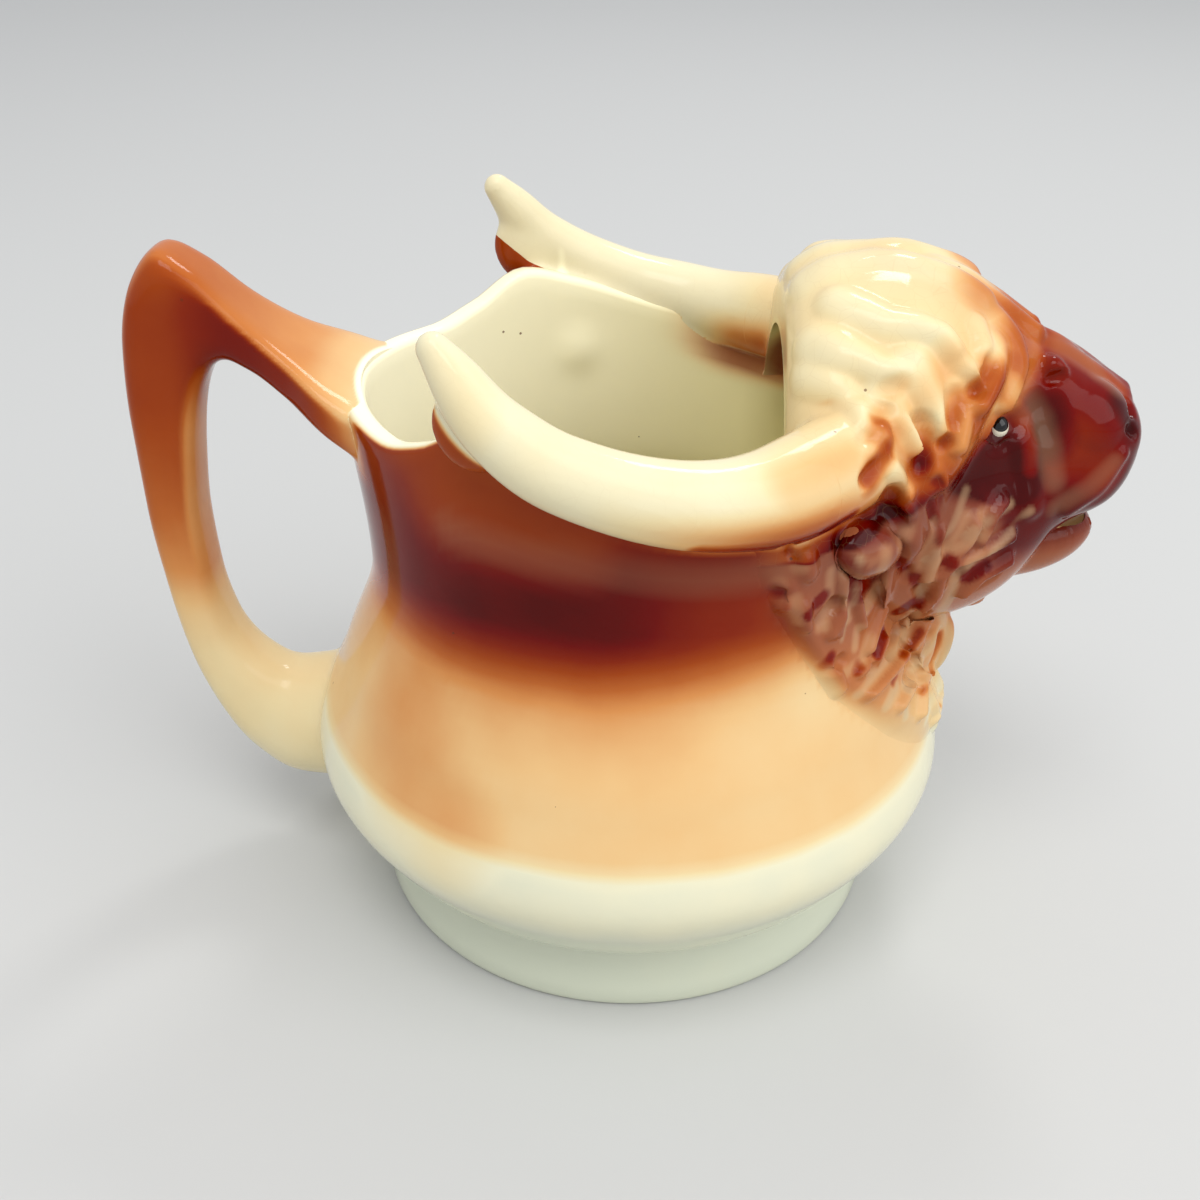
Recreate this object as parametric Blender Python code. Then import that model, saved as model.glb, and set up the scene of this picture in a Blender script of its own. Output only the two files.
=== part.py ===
"""Bison head pitcher: a glazed clay jug whose pouring lip is a bison's head.

The origin is the centre of the foot on the table. +X points to the nose, -X to the handle,
+Z is up, and the two horns lie along the rim at +Y (left) and -Y (right).
The vessel is one long loft from its floor up the outside, over the rim and down the inside.
The clay members luted to it are lofts and reliefs, each cut by a slightly grown copy of what
carries it, so that every seat follows its neighbour at one clearance.
"""

from math import cos, floor, pi, radians, sin, sqrt

import bmesh
import bpy
from mathutils import Matrix, Vector

# Fit of luted members, and the thickness of the cast clay
CLEARANCE = 0.0003
WALL = 0.0043
FLOOR_THICKNESS = 0.0045
RIM_ROUND = 0.0014

# Foot ring
FOOT_RADIUS = 0.0500
FOOT_HEIGHT = 0.0115
FOOT_RING_WIDTH = 0.0062
FOOT_EDGE = 0.0009

# Vessel, bottom to top: heights, and the radius along the jug's length
FOOT_WAIST_RADIUS = 0.0476
UNDERSIDE_HEIGHT = 0.0195
UNDERSIDE_RADIUS = 0.0548
BELLY_HEIGHT = 0.0330
BELLY_RADIUS = 0.0612
SHOULDER_HEIGHT = 0.0500
SHOULDER_RADIUS = 0.0550
WAIST_HEIGHT = 0.0710
WAIST_RADIUS = 0.0480
RIM_HEIGHT = 0.1040
RIM_LENGTH_RADIUS = 0.0512
RIM_WIDTH_RADIUS = 0.0440
THROAT_HEIGHT = 0.0640

# The rim's height round half a turn, from the throat at the front to the handle at the back
RIM_LINE_SHARES = (
    (0.0, 0.0), (0.067, 0.10), (0.139, 0.45), (0.222, 0.79), (0.306, 0.87), (0.472, 0.97),
    (0.583, 1.08), (0.65, 1.12), (0.722, 1.02), (0.79, 0.965), (0.86, 0.975), (1.0, 1.0),
)

# Handle: how far it stands out, how far it rises over the rim, and its half widths
HANDLE_REACH = 0.0897
HANDLE_RISE = 0.0218
HANDLE_FLARE = 0.0210
HANDLE_HALF_WIDTH = 0.0070
HANDLE_FOOT_HALF_WIDTH = 0.0140
# Corner power of the handle's section: 1 gives an ellipse, 0 a square
HANDLE_CORNER_POWER = 0.72

# Each handle row: outer line (out, height, rise), inner line (out, height, rise), width
# out runs from the waist to the reach, height is of the rim, rise is of the handle's rise,
# and width runs from the grip's half width to the flare's (above 0) or the foot's (below 0)
HANDLE_SHARES = (
    ((-0.24, 0.965, 0.0), (-0.24, 0.85, 0.0), 1.0),
    ((0.09, 1.0, 0.10), (0.09, 0.925, 0.0), 0.62),
    ((0.28, 1.0, 0.30), (0.27, 0.975, 0.0), 0.25),
    ((0.47, 1.0, 0.57), (0.42, 1.0, 0.05), 0.06),
    ((0.64, 1.0, 0.87), (0.53, 1.0, 0.12), 0.0),
    ((0.77, 1.0, 1.0), (0.60, 1.0, 0.06), 0.0),
    ((0.895, 1.0, 0.76), (0.655, 0.98, 0.0), 0.0),
    ((0.975, 1.0, 0.27), (0.70, 0.925, 0.0), 0.0),
    ((1.0, 0.915, 0.0), (0.74, 0.83, 0.0), 0.0),
    ((1.0, 0.75, 0.0), (0.765, 0.71, 0.0), 0.0),
    ((0.975, 0.595, 0.0), (0.755, 0.595, 0.0), 0.0),
    ((0.925, 0.44, 0.0), (0.705, 0.495, 0.0), 0.0),
    ((0.83, 0.315, 0.0), (0.595, 0.425, 0.0), -0.1),
    ((0.68, 0.212, 0.0), (0.44, 0.39, 0.0), -0.3),
    ((0.46, 0.16, 0.0), (0.28, 0.395, 0.0), -0.7),
    ((0.04, 0.15, 0.0), (0.02, 0.43, 0.0), -1.0),
)

# Head: a hollow loft from the arch behind the crown to the blunt nose
HEAD_BACK = 0.0250
NOSE_REACH = 0.0883
CROWN_RISE = 0.0168
HEAD_HALF_WIDTH = 0.0250
HEAD_WALL = 0.0044
HEAD_LENGTH = NOSE_REACH - HEAD_BACK
# Corner power of the head's section, and how its rings crowd toward the nose
HEAD_CORNER_POWER = 0.9
HEAD_CROWDING_POWER = 1.35
SKULL_HEIGHT = RIM_HEIGHT + CROWN_RISE

# Horns: centre line and girth; they lie along the rim and their roots sit beside the skull
HORN_SPREAD = 0.0478
HORN_TIP_BACK = 0.0277
HORN_TIP_RISE = 0.0207
HORN_SAG = 0.0027
HORN_ROOT_FORWARD = 0.0400
HORN_RADIUS = 0.0063
HORN_ROOT_RADIUS = 0.0083
HORN_TIP_RADIUS = 0.0026
# Rings of the rounded tip, how rings crowd toward it, and how far ahead a ring looks
HORN_TIP_SHARES = (0.35, 0.75, 0.95)
HORN_CROWDING_POWER = 1.25
HORN_AHEAD_SHARE = 0.02

# Centre line rows: along from tip to root, spread, height from low to tip
HORN_LINE_SHARES = (
    (0.0, 0.89, 1.0), (0.125, 0.955, 0.55), (0.27, 0.99, 0.28), (0.49, 0.975, 0.08),
    (0.71, 0.865, 0.0), (0.86, 0.69, 0.03), (1.0, 0.46, 0.08),
)
# Girth rows: along, share from the tip's radius to the middle's, share on to the root's
HORN_GIRTH_SHARES = (
    (0.0, 0.0, 0.0), (0.06, 0.45, 0.0), (0.20, 0.80, 0.0), (0.42, 1.0, 0.0),
    (0.62, 1.0, 0.35), (0.80, 1.0, 0.90), (1.0, 1.0, 1.0),
)

# Head rows: along from back to nose, top and bottom of the skull's height, half width
HEAD_SHARES = (
    (0.0, 0.965, 0.50, 0.95), (0.13, 0.995, 0.50, 1.0), (0.28, 1.0, 0.50, 1.0),
    (0.43, 0.98, 0.51, 0.92), (0.55, 0.952, 0.525, 0.78), (0.645, 0.939, 0.555, 0.66),
    (0.70, 0.934, 0.595, 0.615), (0.745, 0.926, 0.643, 0.585), (0.80, 0.91, 0.675, 0.56),
    (0.865, 0.888, 0.698, 0.54), (0.92, 0.867, 0.726, 0.49), (0.97, 0.845, 0.758, 0.38),
    (1.0, 0.815, 0.782, 0.16),
)
# Floor of the pouring passage: along from back to nose, share of the skull's height
SPOUT_FLOOR_SHARES = (
    (-0.15, 0.51), (0.27, 0.535), (0.43, 0.548), (0.55, 0.562), (0.67, 0.585),
    (0.79, 0.611), (0.90, 0.645), (0.95, 0.69),
)
NOSTRIL_RADIUS = 0.0018
NOSTRIL_OFFSET = 0.0072
NOSTRIL_ALONG_SHARE = 0.972
NOSTRIL_HEIGHT_SHARE = 0.818

# Lower lip: a scoop under the open mouth, set by the head's length and height
LIP_REACH_SHARE = 0.905
LIP_LENGTH_SHARE = 0.324
LIP_RIM_SHARE = 0.6424
LIP_REACH = HEAD_BACK + HEAD_LENGTH * LIP_REACH_SHARE
LIP_LENGTH = HEAD_LENGTH * LIP_LENGTH_SHARE
LIP_RIM_HEIGHT = SKULL_HEIGHT * LIP_RIM_SHARE
LIP_HALF_WIDTH = 0.0098
LIP_DEPTH = 0.0092
LIP_WALL = 0.0027

# Eyes and ears
EYE_ALONG_SHARE = 0.5656
EYE_HEIGHT_SHARE = 0.8568
EYE_LENGTH_RADIUS = 0.0027
EYE_HEIGHT_RADIUS = 0.0033
EYE_DEPTH_RADIUS = 0.0030
EAR_FORWARD = 0.0385
EAR_DROP = 0.0168
EAR_LENGTH_RADIUS = 0.0072
EAR_HEIGHT_RADIUS = 0.0042
EAR_DEPTH_RADIUS = 0.0034
EAR_TILT = radians(20)
EAR_TURN = radians(36)

# Woolly reliefs: thickness of the coat at its edge and the swell of a lock
COAT_EDGE = 0.0010
FORELOCK_SWELL = 0.0059
MANE_SWELL = 0.0040
BEARD_SWELL = 0.0022
BEARD_FULLNESS = 0.0115
# A lock: how much it tapers to its tip, and its thickness at the root as a share
LOCK_TAPER_SHARE = 0.55
LOCK_ROOT_SHARE = 0.45
# Share of a coat's width and length over which it thins to its edge
COAT_SIDE_SHARE = 0.1
COAT_END_SHARE = 0.0667
# How the beard's fullness falls from its top and swells at its middle
BEARD_FALL_POWER = 1.3
BEARD_SIDE_POWER = 0.8
MANE_COLUMNS = 5
MANE_ROWS = 3
BEARD_COLUMNS = 4
BEARD_ROWS = 2
# Mane outline on the vessel, from the throat back to under the horn
MANE_FRONT_ANGLE = radians(20)
MANE_BACK_ANGLE = radians(62)
MANE_TOP_DROP = 0.0155
MANE_FRONT_LENGTH = 0.0430
MANE_BACK_LENGTH = 0.0035
BEARD_LOW_HEIGHT = 0.0365
BEARD_TOP_HEIGHT = 0.0680
# How far the beard's lower edge climbs at its sides, and how the mane's edge climbs to the back
BEARD_CLIMB = 0.0031
MANE_CLIMB_POWER = 1.5
# Forelock: rows of locks on the skull, along it and down its sides
FORELOCK_FRONT_SHARE = 0.68
FORELOCK_SIDE_ANGLE = radians(103)
FORELOCK_COLUMNS = 6
FORELOCK_ROWS = 3
# The cap's even thickness as a share of its swell, and where it thins toward the brow
FORELOCK_EVEN_SHARE = 0.70
FORELOCK_BROW_SHARE = 0.17
# Where the back of the cap closes, inside the skull
FORELOCK_APEX_SHARE = 0.25
FORELOCK_DEPTH_SHARE = 0.72
# How far the cap reaches down the sides, from the crown's back edge to its front edge
FORELOCK_SPREAD_SHARES = (
    (0.0, 1.0), (0.45, 1.0), (0.62, 0.86), (0.76, 0.62), (0.86, 0.47), (1.0, 0.25),
)

# Mesh counts
VESSEL_SEGMENTS = 48
HORN_SEGMENTS = 12
HORN_STEPS = 17
HANDLE_SEGMENTS = 16
HANDLE_STEPS = 28
HEAD_SEGMENTS = 24
HEAD_STEPS = 15
LIP_SEGMENTS = 28
LIP_RINGS = 16
EYE_SEGMENTS = 14
EYE_RINGS = 8
EAR_SEGMENTS = 16
EAR_RINGS = 10
NOSTRIL_SEGMENTS = 10
NOSTRIL_RINGS = 6
# Steps across and down each coat of locks
MANE_STEPS = (20, 15)
BEARD_STEPS = (16, 10)
FORELOCK_STEPS = (28, 16)
OVERRUN = 0.0050

LEFT = 1
RIGHT = -1


def clear_scene():
    for item in list(bpy.data.objects):
        bpy.data.objects.remove(item, do_unlink=True)


def smooth_value(rows, at, column=1):
    """Value of a smooth curve through rows of (place, value, ...), read at a place."""
    places = [row[0] for row in rows]
    values = [row[column] for row in rows]
    at = min(max(at, places[0]), places[-1])
    last = len(rows) - 1
    index = max(i for i in range(last) if places[i] <= at)
    gaps = [places[i + 1] - places[i] for i in range(last)]
    steps = [(values[i + 1] - values[i]) / gaps[i] for i in range(last)]

    def slope(i):
        if i in (0, last):
            return steps[0] if i == 0 else steps[-1]
        if steps[i - 1] * steps[i] <= 0:
            return 0.0
        weight = 3 * (gaps[i - 1] + gaps[i])
        before = (2 * gaps[i] + gaps[i - 1]) / steps[i - 1]
        after = (gaps[i] + 2 * gaps[i - 1]) / steps[i]
        return weight / (before + after)

    gap = gaps[index]
    t = (at - places[index]) / gap
    start = values[index] * (2 * t**3 - 3 * t**2 + 1)
    end = values[index + 1] * (3 * t**2 - 2 * t**3)
    leave = slope(index) * gap * (t**3 - 2 * t**2 + t)
    arrive = slope(index + 1) * gap * (t**3 - t**2)
    return start + end + leave + arrive


def between(low, high, share):
    return low + (high - low) * share


def clay(name, colour, roughness=0.12):
    material = bpy.data.materials.new(name)
    material.use_nodes = True
    shader = material.node_tree.nodes["Principled BSDF"]
    shader.inputs["Base Color"].default_value = (*colour, 1.0)
    shader.inputs["Roughness"].default_value = roughness
    shader.inputs["Metallic"].default_value = 0.0
    material.diffuse_color = (*colour, 1.0)
    return material


def as_object(name, form, material=None):
    """Turn a bmesh into an object with outward faces and smooth shading."""
    bmesh.ops.recalc_face_normals(form, faces=form.faces)
    mesh = bpy.data.meshes.new(name)
    form.to_mesh(mesh)
    form.free()
    mesh.shade_smooth()
    mesh.set_sharp_from_angle(angle=radians(40))
    item = bpy.data.objects.new(name, mesh)
    bpy.context.collection.objects.link(item)
    if material:
        mesh.materials.append(material)
    return item


def as_cutter(name, form):
    cutter = as_object(name, form)
    cutter.hide_render = True
    cutter.display_type = "WIRE"
    return cutter


def cut(item, cutters):
    """Take all of an object's cutters away in one exact Boolean."""
    group = bpy.data.collections.new(item.name + "_cutters")
    for cutter in cutters:
        group.objects.link(cutter)
    boolean = item.modifiers.new(group.name, "BOOLEAN")
    boolean.operation = "DIFFERENCE"
    boolean.solver = "EXACT"
    boolean.operand_type = "COLLECTION"
    boolean.collection = group


def loft(rings):
    """Closed solid through a row of rings with like counts, capped at both ends."""
    form = bmesh.new()
    loops = [[form.verts.new(point) for point in ring] for ring in rings]
    count = len(rings[0])
    for lower, upper in zip(loops, loops[1:]):
        for i in range(count):
            j = (i + 1) % count
            form.faces.new((lower[i], lower[j], upper[j]))
            form.faces.new((lower[i], upper[j], upper[i]))
    for loop in (loops[0], loops[-1]):
        middle = form.verts.new(sum((vert.co for vert in loop), Vector()) / count)
        for i in range(count):
            form.faces.new((loop[i], loop[(i + 1) % count], middle))
    return form


def relief(rows, apex):
    """Closed solid: a patch of points, closed by a cone to one point behind it."""
    form = bmesh.new()
    grid = [[form.verts.new(point) for point in row] for row in rows]
    for upper, lower in zip(grid, grid[1:]):
        for i in range(len(upper) - 1):
            form.faces.new((upper[i], upper[i + 1], lower[i + 1]))
            form.faces.new((upper[i], lower[i + 1], lower[i]))
    tip = form.verts.new(apex)
    left_edge = [row[0] for row in grid]
    rim = grid[0] + [row[-1] for row in grid[1:]] + grid[-1][-2::-1] + left_edge[-2:0:-1]
    for i, vert in enumerate(rim):
        form.faces.new((vert, rim[(i + 1) % len(rim)], tip))
    return form


def ellipsoid(centre, radii, grow=0.0, turn=None, segments=20, rings=12):
    form = bmesh.new()
    sizes = [radius + grow for radius in radii]
    place = Matrix.Translation(centre) @ (turn or Matrix.Identity(4))
    place = place @ Matrix.Diagonal((*sizes, 1.0))
    bmesh.ops.create_uvsphere(form, u_segments=segments, v_segments=rings, radius=1.0, matrix=place)
    return form


def box(low, high):
    form = bmesh.new()
    centre = (Vector(low) + Vector(high)) / 2
    size = Vector(high) - Vector(low)
    place = Matrix.Translation(centre) @ Matrix.Diagonal((*size, 1.0))
    bmesh.ops.create_cube(form, size=1.0, matrix=place)
    return form


def length_radius(height):
    """The vessel's outer radius along X at a height."""
    rows = (
        (FOOT_HEIGHT, FOOT_WAIST_RADIUS),
        (UNDERSIDE_HEIGHT, UNDERSIDE_RADIUS),
        (BELLY_HEIGHT, BELLY_RADIUS),
        (SHOULDER_HEIGHT, SHOULDER_RADIUS),
        (WAIST_HEIGHT, WAIST_RADIUS),
        (RIM_HEIGHT, RIM_LENGTH_RADIUS),
    )
    return smooth_value(rows, height)


def width_radius(height):
    """The vessel is round below its shoulder and oval at its rim."""
    climb = min(max((height - SHOULDER_HEIGHT) / (RIM_HEIGHT - SHOULDER_HEIGHT), 0.0), 1.0)
    narrow = between(1.0, RIM_WIDTH_RADIUS / RIM_LENGTH_RADIUS, climb**1.2)
    return length_radius(height) * narrow


def rim_height(angle):
    turn_share = abs(((angle + pi) % (2 * pi)) - pi) / pi
    return between(THROAT_HEIGHT, RIM_HEIGHT, smooth_value(RIM_LINE_SHARES, turn_share))


def vessel_ring(nominal, inset=0.0, lift=0.0):
    """A ring of the vessel; above its shoulder it climbs with the rim line."""
    ring = []
    for i in range(VESSEL_SEGMENTS):
        angle = 2 * pi * i / VESSEL_SEGMENTS
        height = nominal
        if nominal > SHOULDER_HEIGHT:
            climb = (nominal - SHOULDER_HEIGHT) / (RIM_HEIGHT - SHOULDER_HEIGHT)
            height = between(SHOULDER_HEIGHT, rim_height(angle), climb)
        x = (length_radius(height) - inset) * cos(angle)
        y = (width_radius(height) - inset) * sin(angle)
        ring.append((x, y, height + lift))
    return ring


def spaced(low, high, count):
    return [between(low, high, i / (count - 1)) for i in range(count)]


def outside_rings(grow=0.0):
    """Rings of the vessel's outside, from the floor's underside to the rim's outer round."""
    heights = [FOOT_HEIGHT + CLEARANCE - grow] + spaced(FOOT_HEIGHT + WALL, SHOULDER_HEIGHT, 8)
    heights += spaced(SHOULDER_HEIGHT, RIM_HEIGHT - RIM_ROUND, 9)[1:]
    rings = [vessel_ring(height, inset=-grow) for height in heights]
    rings.append(vessel_ring(RIM_HEIGHT, inset=RIM_ROUND - grow, lift=grow))
    return rings


def vessel_rings(grow=0.0):
    """Rings from the floor's underside, over the rim and down to the floor."""
    floor_top = FOOT_HEIGHT + FLOOR_THICKNESS
    inside = spaced(RIM_HEIGHT - RIM_ROUND, SHOULDER_HEIGHT, 7)
    inside += spaced(SHOULDER_HEIGHT, floor_top, 6)[1:]
    rings = outside_rings(grow)
    rings.append(vessel_ring(RIM_HEIGHT, inset=WALL - RIM_ROUND + grow, lift=grow))
    rings += [vessel_ring(height, inset=WALL + grow) for height in inside]
    return rings


def filled_vessel(grow):
    """The vessel's outside with its hollow filled, to cut what is luted to it."""
    return loft(outside_rings(grow))


def turned(profile, segments):
    """Revolve a profile of (radius, height) about Z into a ring."""
    form = bmesh.new()
    verts = [form.verts.new((radius, 0.0, height)) for radius, height in profile]
    edges = [form.edges.new((verts[i], verts[(i + 1) % len(verts)])) for i in range(len(verts))]
    bmesh.ops.spin(
        form, geom=verts + edges, axis=(0, 0, 1), cent=(0, 0, 0), angle=2 * pi,
        steps=segments, use_merge=True,
    )
    return form


def foot_ring(material):
    inner = FOOT_RADIUS - FOOT_RING_WIDTH
    waist = between(FOOT_WAIST_RADIUS, FOOT_RADIUS, 0.25)
    profile = (
        (inner + FOOT_EDGE, 0.0),
        (FOOT_RADIUS - FOOT_EDGE, 0.0),
        (FOOT_RADIUS, FOOT_EDGE),
        (waist, FOOT_HEIGHT / 2),
        (FOOT_WAIST_RADIUS, FOOT_HEIGHT),
        (inner - FOOT_EDGE, FOOT_HEIGHT),
        (inner, FOOT_EDGE),
    )
    return as_object("foot_ring", turned(profile, VESSEL_SEGMENTS), material)


def vessel_body(material):
    return as_object("vessel_body", loft(vessel_rings()), material)


def rounded_ring(low, high, half_width, sharpness, count):
    """A ring between two points of the XZ plane, with rounded corners across Y."""
    middle = (low + high) / 2
    reach = (high - low) / 2
    ring = []
    for i in range(count):
        angle = 2 * pi * i / count
        across = abs(cos(angle)) ** sharpness
        along = abs(sin(angle)) ** sharpness
        side = Vector((0.0, half_width * (across if cos(angle) >= 0 else -across), 0.0))
        ring.append(middle + side + reach * (along if sin(angle) >= 0 else -along))
    return ring


def handle_point(shares):
    out, height, rise = shares
    x = -between(WAIST_RADIUS, HANDLE_REACH, out)
    return Vector((x, 0.0, RIM_HEIGHT * height + HANDLE_RISE * rise))


def handle_rings():
    last = len(HANDLE_SHARES) - 1
    outer = [(i, *handle_point(row[0])) for i, row in enumerate(HANDLE_SHARES)]
    inner = [(i, *handle_point(row[1])) for i, row in enumerate(HANDLE_SHARES)]
    widths = [(i, row[2]) for i, row in enumerate(HANDLE_SHARES)]
    rings = []
    for step in range(HANDLE_STEPS + 1):
        at = last * step / HANDLE_STEPS
        high = Vector((smooth_value(outer, at, 1), 0.0, smooth_value(outer, at, 3)))
        low = Vector((smooth_value(inner, at, 1), 0.0, smooth_value(inner, at, 3)))
        share = smooth_value(widths, at)
        widest = HANDLE_FLARE if share > 0 else HANDLE_FOOT_HALF_WIDTH
        half_width = between(HANDLE_HALF_WIDTH, widest, abs(share))
        rings.append(rounded_ring(low, high, half_width, HANDLE_CORNER_POWER, HANDLE_SEGMENTS))
    return rings


def handle(material, vessel_cutter):
    item = as_object("handle", loft(handle_rings()), material)
    cut(item, [vessel_cutter])
    return item


def horn_centre(along, side):
    back_to_root = HORN_ROOT_FORWARD + HORN_TIP_BACK
    x = back_to_root * along - HORN_TIP_BACK
    y = side * HORN_SPREAD * smooth_value(HORN_LINE_SHARES, along, 1)
    low = RIM_HEIGHT - HORN_SAG
    tip = RIM_HEIGHT + HORN_TIP_RISE
    z = between(low, tip, smooth_value(HORN_LINE_SHARES, along, 2))
    return Vector((x, y, z))


def horn_radius(along):
    radius = between(HORN_TIP_RADIUS, HORN_RADIUS, smooth_value(HORN_GIRTH_SHARES, along, 1))
    return between(radius, HORN_ROOT_RADIUS, smooth_value(HORN_GIRTH_SHARES, along, 2))


def horn(side, grow=0.0):
    """A tapering horn swept along its centre line, with a rounded tip."""
    rings = []
    for share in HORN_TIP_SHARES:
        start = horn_centre(0.0, side)
        way = (horn_centre(2 * HORN_AHEAD_SHARE, side) - start).normalized()
        depth = (HORN_TIP_RADIUS + grow) * (1 - sqrt(1 - share**2))
        centre = start - way * (HORN_TIP_RADIUS + grow - depth)
        rings.append(circle(centre, way, (HORN_TIP_RADIUS + grow) * share))
    for step in range(HORN_STEPS + 1):
        along = (step / HORN_STEPS) ** HORN_CROWDING_POWER
        ahead = horn_centre(min(along + HORN_AHEAD_SHARE, 1.0), side)
        behind = horn_centre(max(along - HORN_AHEAD_SHARE, 0.0), side)
        way = (ahead - behind).normalized()
        rings.append(circle(horn_centre(along, side), way, horn_radius(along) + grow))
    return loft(rings)


def circle(centre, way, radius):
    up = Vector((0, 0, 1))
    across = way.cross(up).normalized()
    upright = across.cross(way)
    ring = []
    for i in range(HORN_SEGMENTS):
        angle = 2 * pi * i / HORN_SEGMENTS
        ring.append(centre + (across * cos(angle) + upright * sin(angle)) * radius)
    return ring


def head_section(along):
    """Centre height, half height and half width of the head at a share of its length."""
    top = SKULL_HEIGHT * smooth_value(HEAD_SHARES, along, 1)
    bottom = SKULL_HEIGHT * smooth_value(HEAD_SHARES, along, 2)
    half_width = HEAD_HALF_WIDTH * smooth_value(HEAD_SHARES, along, 3)
    return (top + bottom) / 2, (top - bottom) / 2, half_width


def head_point(along, angle, grow=0.0):
    """A point of the head's surface; the angle runs down from the top."""
    middle, half_height, half_width = head_section(along)
    x = between(HEAD_BACK, NOSE_REACH, along)
    across = abs(sin(angle)) ** HEAD_CORNER_POWER
    upright = abs(cos(angle)) ** HEAD_CORNER_POWER
    y = (half_width + grow) * (across if sin(angle) >= 0 else -across)
    z = middle + (half_height + grow) * (upright if cos(angle) >= 0 else -upright)
    return Vector((x, y, z))


def head_form(grow=0.0):
    """The head without its hollow."""
    rings = []
    for step in range(HEAD_STEPS + 1):
        along = 1 - (1 - step / HEAD_STEPS) ** HEAD_CROWDING_POWER
        ring = [head_point(along, 2 * pi * i / HEAD_SEGMENTS, grow) for i in range(HEAD_SEGMENTS)]
        rings.append(ring)
    if grow:
        push = Vector((grow, 0, 0))
        rings[0] = [point - push for point in rings[0]]
        rings[-1] = [point + push for point in rings[-1]]
    return loft(rings)


def passage():
    """The hollow of the head: in from the vessel, out through the open mouth."""
    start, end = SPOUT_FLOOR_SHARES[0][0], SPOUT_FLOOR_SHARES[-1][0]
    rings = []
    for step in range(HEAD_STEPS + 1):
        along = between(start, end, step / HEAD_STEPS)
        middle, half_height, half_width = head_section(max(along, 0.0))
        top = middle + half_height - HEAD_WALL
        bottom = SKULL_HEIGHT * smooth_value(SPOUT_FLOOR_SHARES, along)
        x = between(HEAD_BACK, NOSE_REACH, along)
        ring = []
        for i in range(HEAD_SEGMENTS):
            angle = 2 * pi * i / HEAD_SEGMENTS
            y = (half_width - HEAD_WALL) * sin(angle)
            z = (top + bottom) / 2 + (top - bottom) / 2 * cos(angle)
            ring.append((x, y, z))
        rings.append(ring)
    return loft(rings)


def eye_centre(side):
    """The eyeball sits half sunk in the side of the head."""
    middle, half_height, half_width = head_section(EYE_ALONG_SHARE)
    height = SKULL_HEIGHT * EYE_HEIGHT_SHARE
    rise = min((height - middle) / half_height, 1.0)
    across = half_width * sqrt(1 - rise**2)
    return Vector((HEAD_BACK + HEAD_LENGTH * EYE_ALONG_SHARE, side * across, height))


def eye_form(side, grow=0.0):
    radii = (EYE_LENGTH_RADIUS, EYE_DEPTH_RADIUS, EYE_HEIGHT_RADIUS)
    return ellipsoid(eye_centre(side), radii, grow, segments=EYE_SEGMENTS, rings=EYE_RINGS)


def nostril(side):
    along = NOSTRIL_ALONG_SHARE
    centre = (between(HEAD_BACK, NOSE_REACH, along), side * NOSTRIL_OFFSET,
              SKULL_HEIGHT * NOSTRIL_HEIGHT_SHARE)
    radii = (NOSTRIL_RADIUS, NOSTRIL_RADIUS, NOSTRIL_RADIUS)
    return ellipsoid(centre, radii, segments=NOSTRIL_SEGMENTS, rings=NOSTRIL_RINGS)


def bison_head(material, cutters):
    item = as_object("bison_head", head_form(), material)
    cut(item, cutters)
    return item


def lip_form(grow=0.0):
    centre = (LIP_REACH - LIP_LENGTH, 0.0, LIP_RIM_HEIGHT)
    return ellipsoid(centre, (LIP_LENGTH, LIP_HALF_WIDTH, LIP_DEPTH), grow,
                     segments=LIP_SEGMENTS, rings=LIP_RINGS)


def lower_lip(material, cutters):
    item = as_object("lower_lip", lip_form(), material)
    centre = (LIP_REACH - LIP_LENGTH, 0.0, LIP_RIM_HEIGHT)
    hollow = ellipsoid(centre, (LIP_LENGTH, LIP_HALF_WIDTH, LIP_DEPTH), -LIP_WALL,
                       segments=LIP_SEGMENTS, rings=LIP_RINGS)
    above_low = (HEAD_BACK, -LIP_HALF_WIDTH - OVERRUN, LIP_RIM_HEIGHT)
    above_high = (LIP_REACH + OVERRUN, LIP_HALF_WIDTH + OVERRUN, LIP_RIM_HEIGHT + LIP_LENGTH)
    open_top = [as_cutter("lip_hollow", hollow), as_cutter("lip_above", box(above_low, above_high))]
    cut(item, open_top + cutters)
    return item


def lock_swell(across, down, columns, rows):
    """Height of overlapping pointed locks, 0 to 1, at a place on a coat."""
    column = min(floor(across * columns), columns - 1)
    fall = down * rows + (0.5 if column % 2 else 0.0)
    reach = fall - floor(fall)
    sideways = 2 * (across * columns - column) - 1
    half = 1 - LOCK_TAPER_SHARE * reach**2
    ridge = sqrt(max(1 - (sideways / half) ** 2, 0.0)) if abs(sideways) < half else 0.0
    return ridge * between(LOCK_ROOT_SHARE, 1.0, reach)


def coat_fade(across, down):
    """1 inside a coat, falling to 0 at its edges."""
    sides = min(across, 1 - across) / COAT_SIDE_SHARE
    ends = min(down, 1 - down) / COAT_END_SHARE
    return min(sides, ends, 1.0)


def coat_on_vessel(angles, top, low, swell, columns, rows, steps, apex, fullness=0.0):
    """A coat of locks on the vessel, between two angles and two height lines."""
    start, end = angles
    across_steps, down_steps = steps
    patch = []
    for j in range(down_steps + 1):
        down = j / down_steps
        line = []
        for i in range(across_steps + 1):
            across = i / across_steps
            angle = between(start, end, across)
            height = between(top(across), low(across), down)
            lift = COAT_EDGE + swell * lock_swell(across, down, columns, rows) \
                * coat_fade(across, down)
            lift += fullness * (1 - down)**BEARD_FALL_POWER * sin(pi * across)**BEARD_SIDE_POWER
            x = (length_radius(height) + lift) * cos(angle)
            y = (width_radius(height) + lift) * sin(angle)
            line.append((x, y, height))
        patch.append(line)
    return relief(patch, apex)


def scallop(across, columns, drop):
    """Drop of the pointed lock ends along a lower edge."""
    return drop * (1 - abs(2 * (across * columns - floor(across * columns)) - 1))


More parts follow.
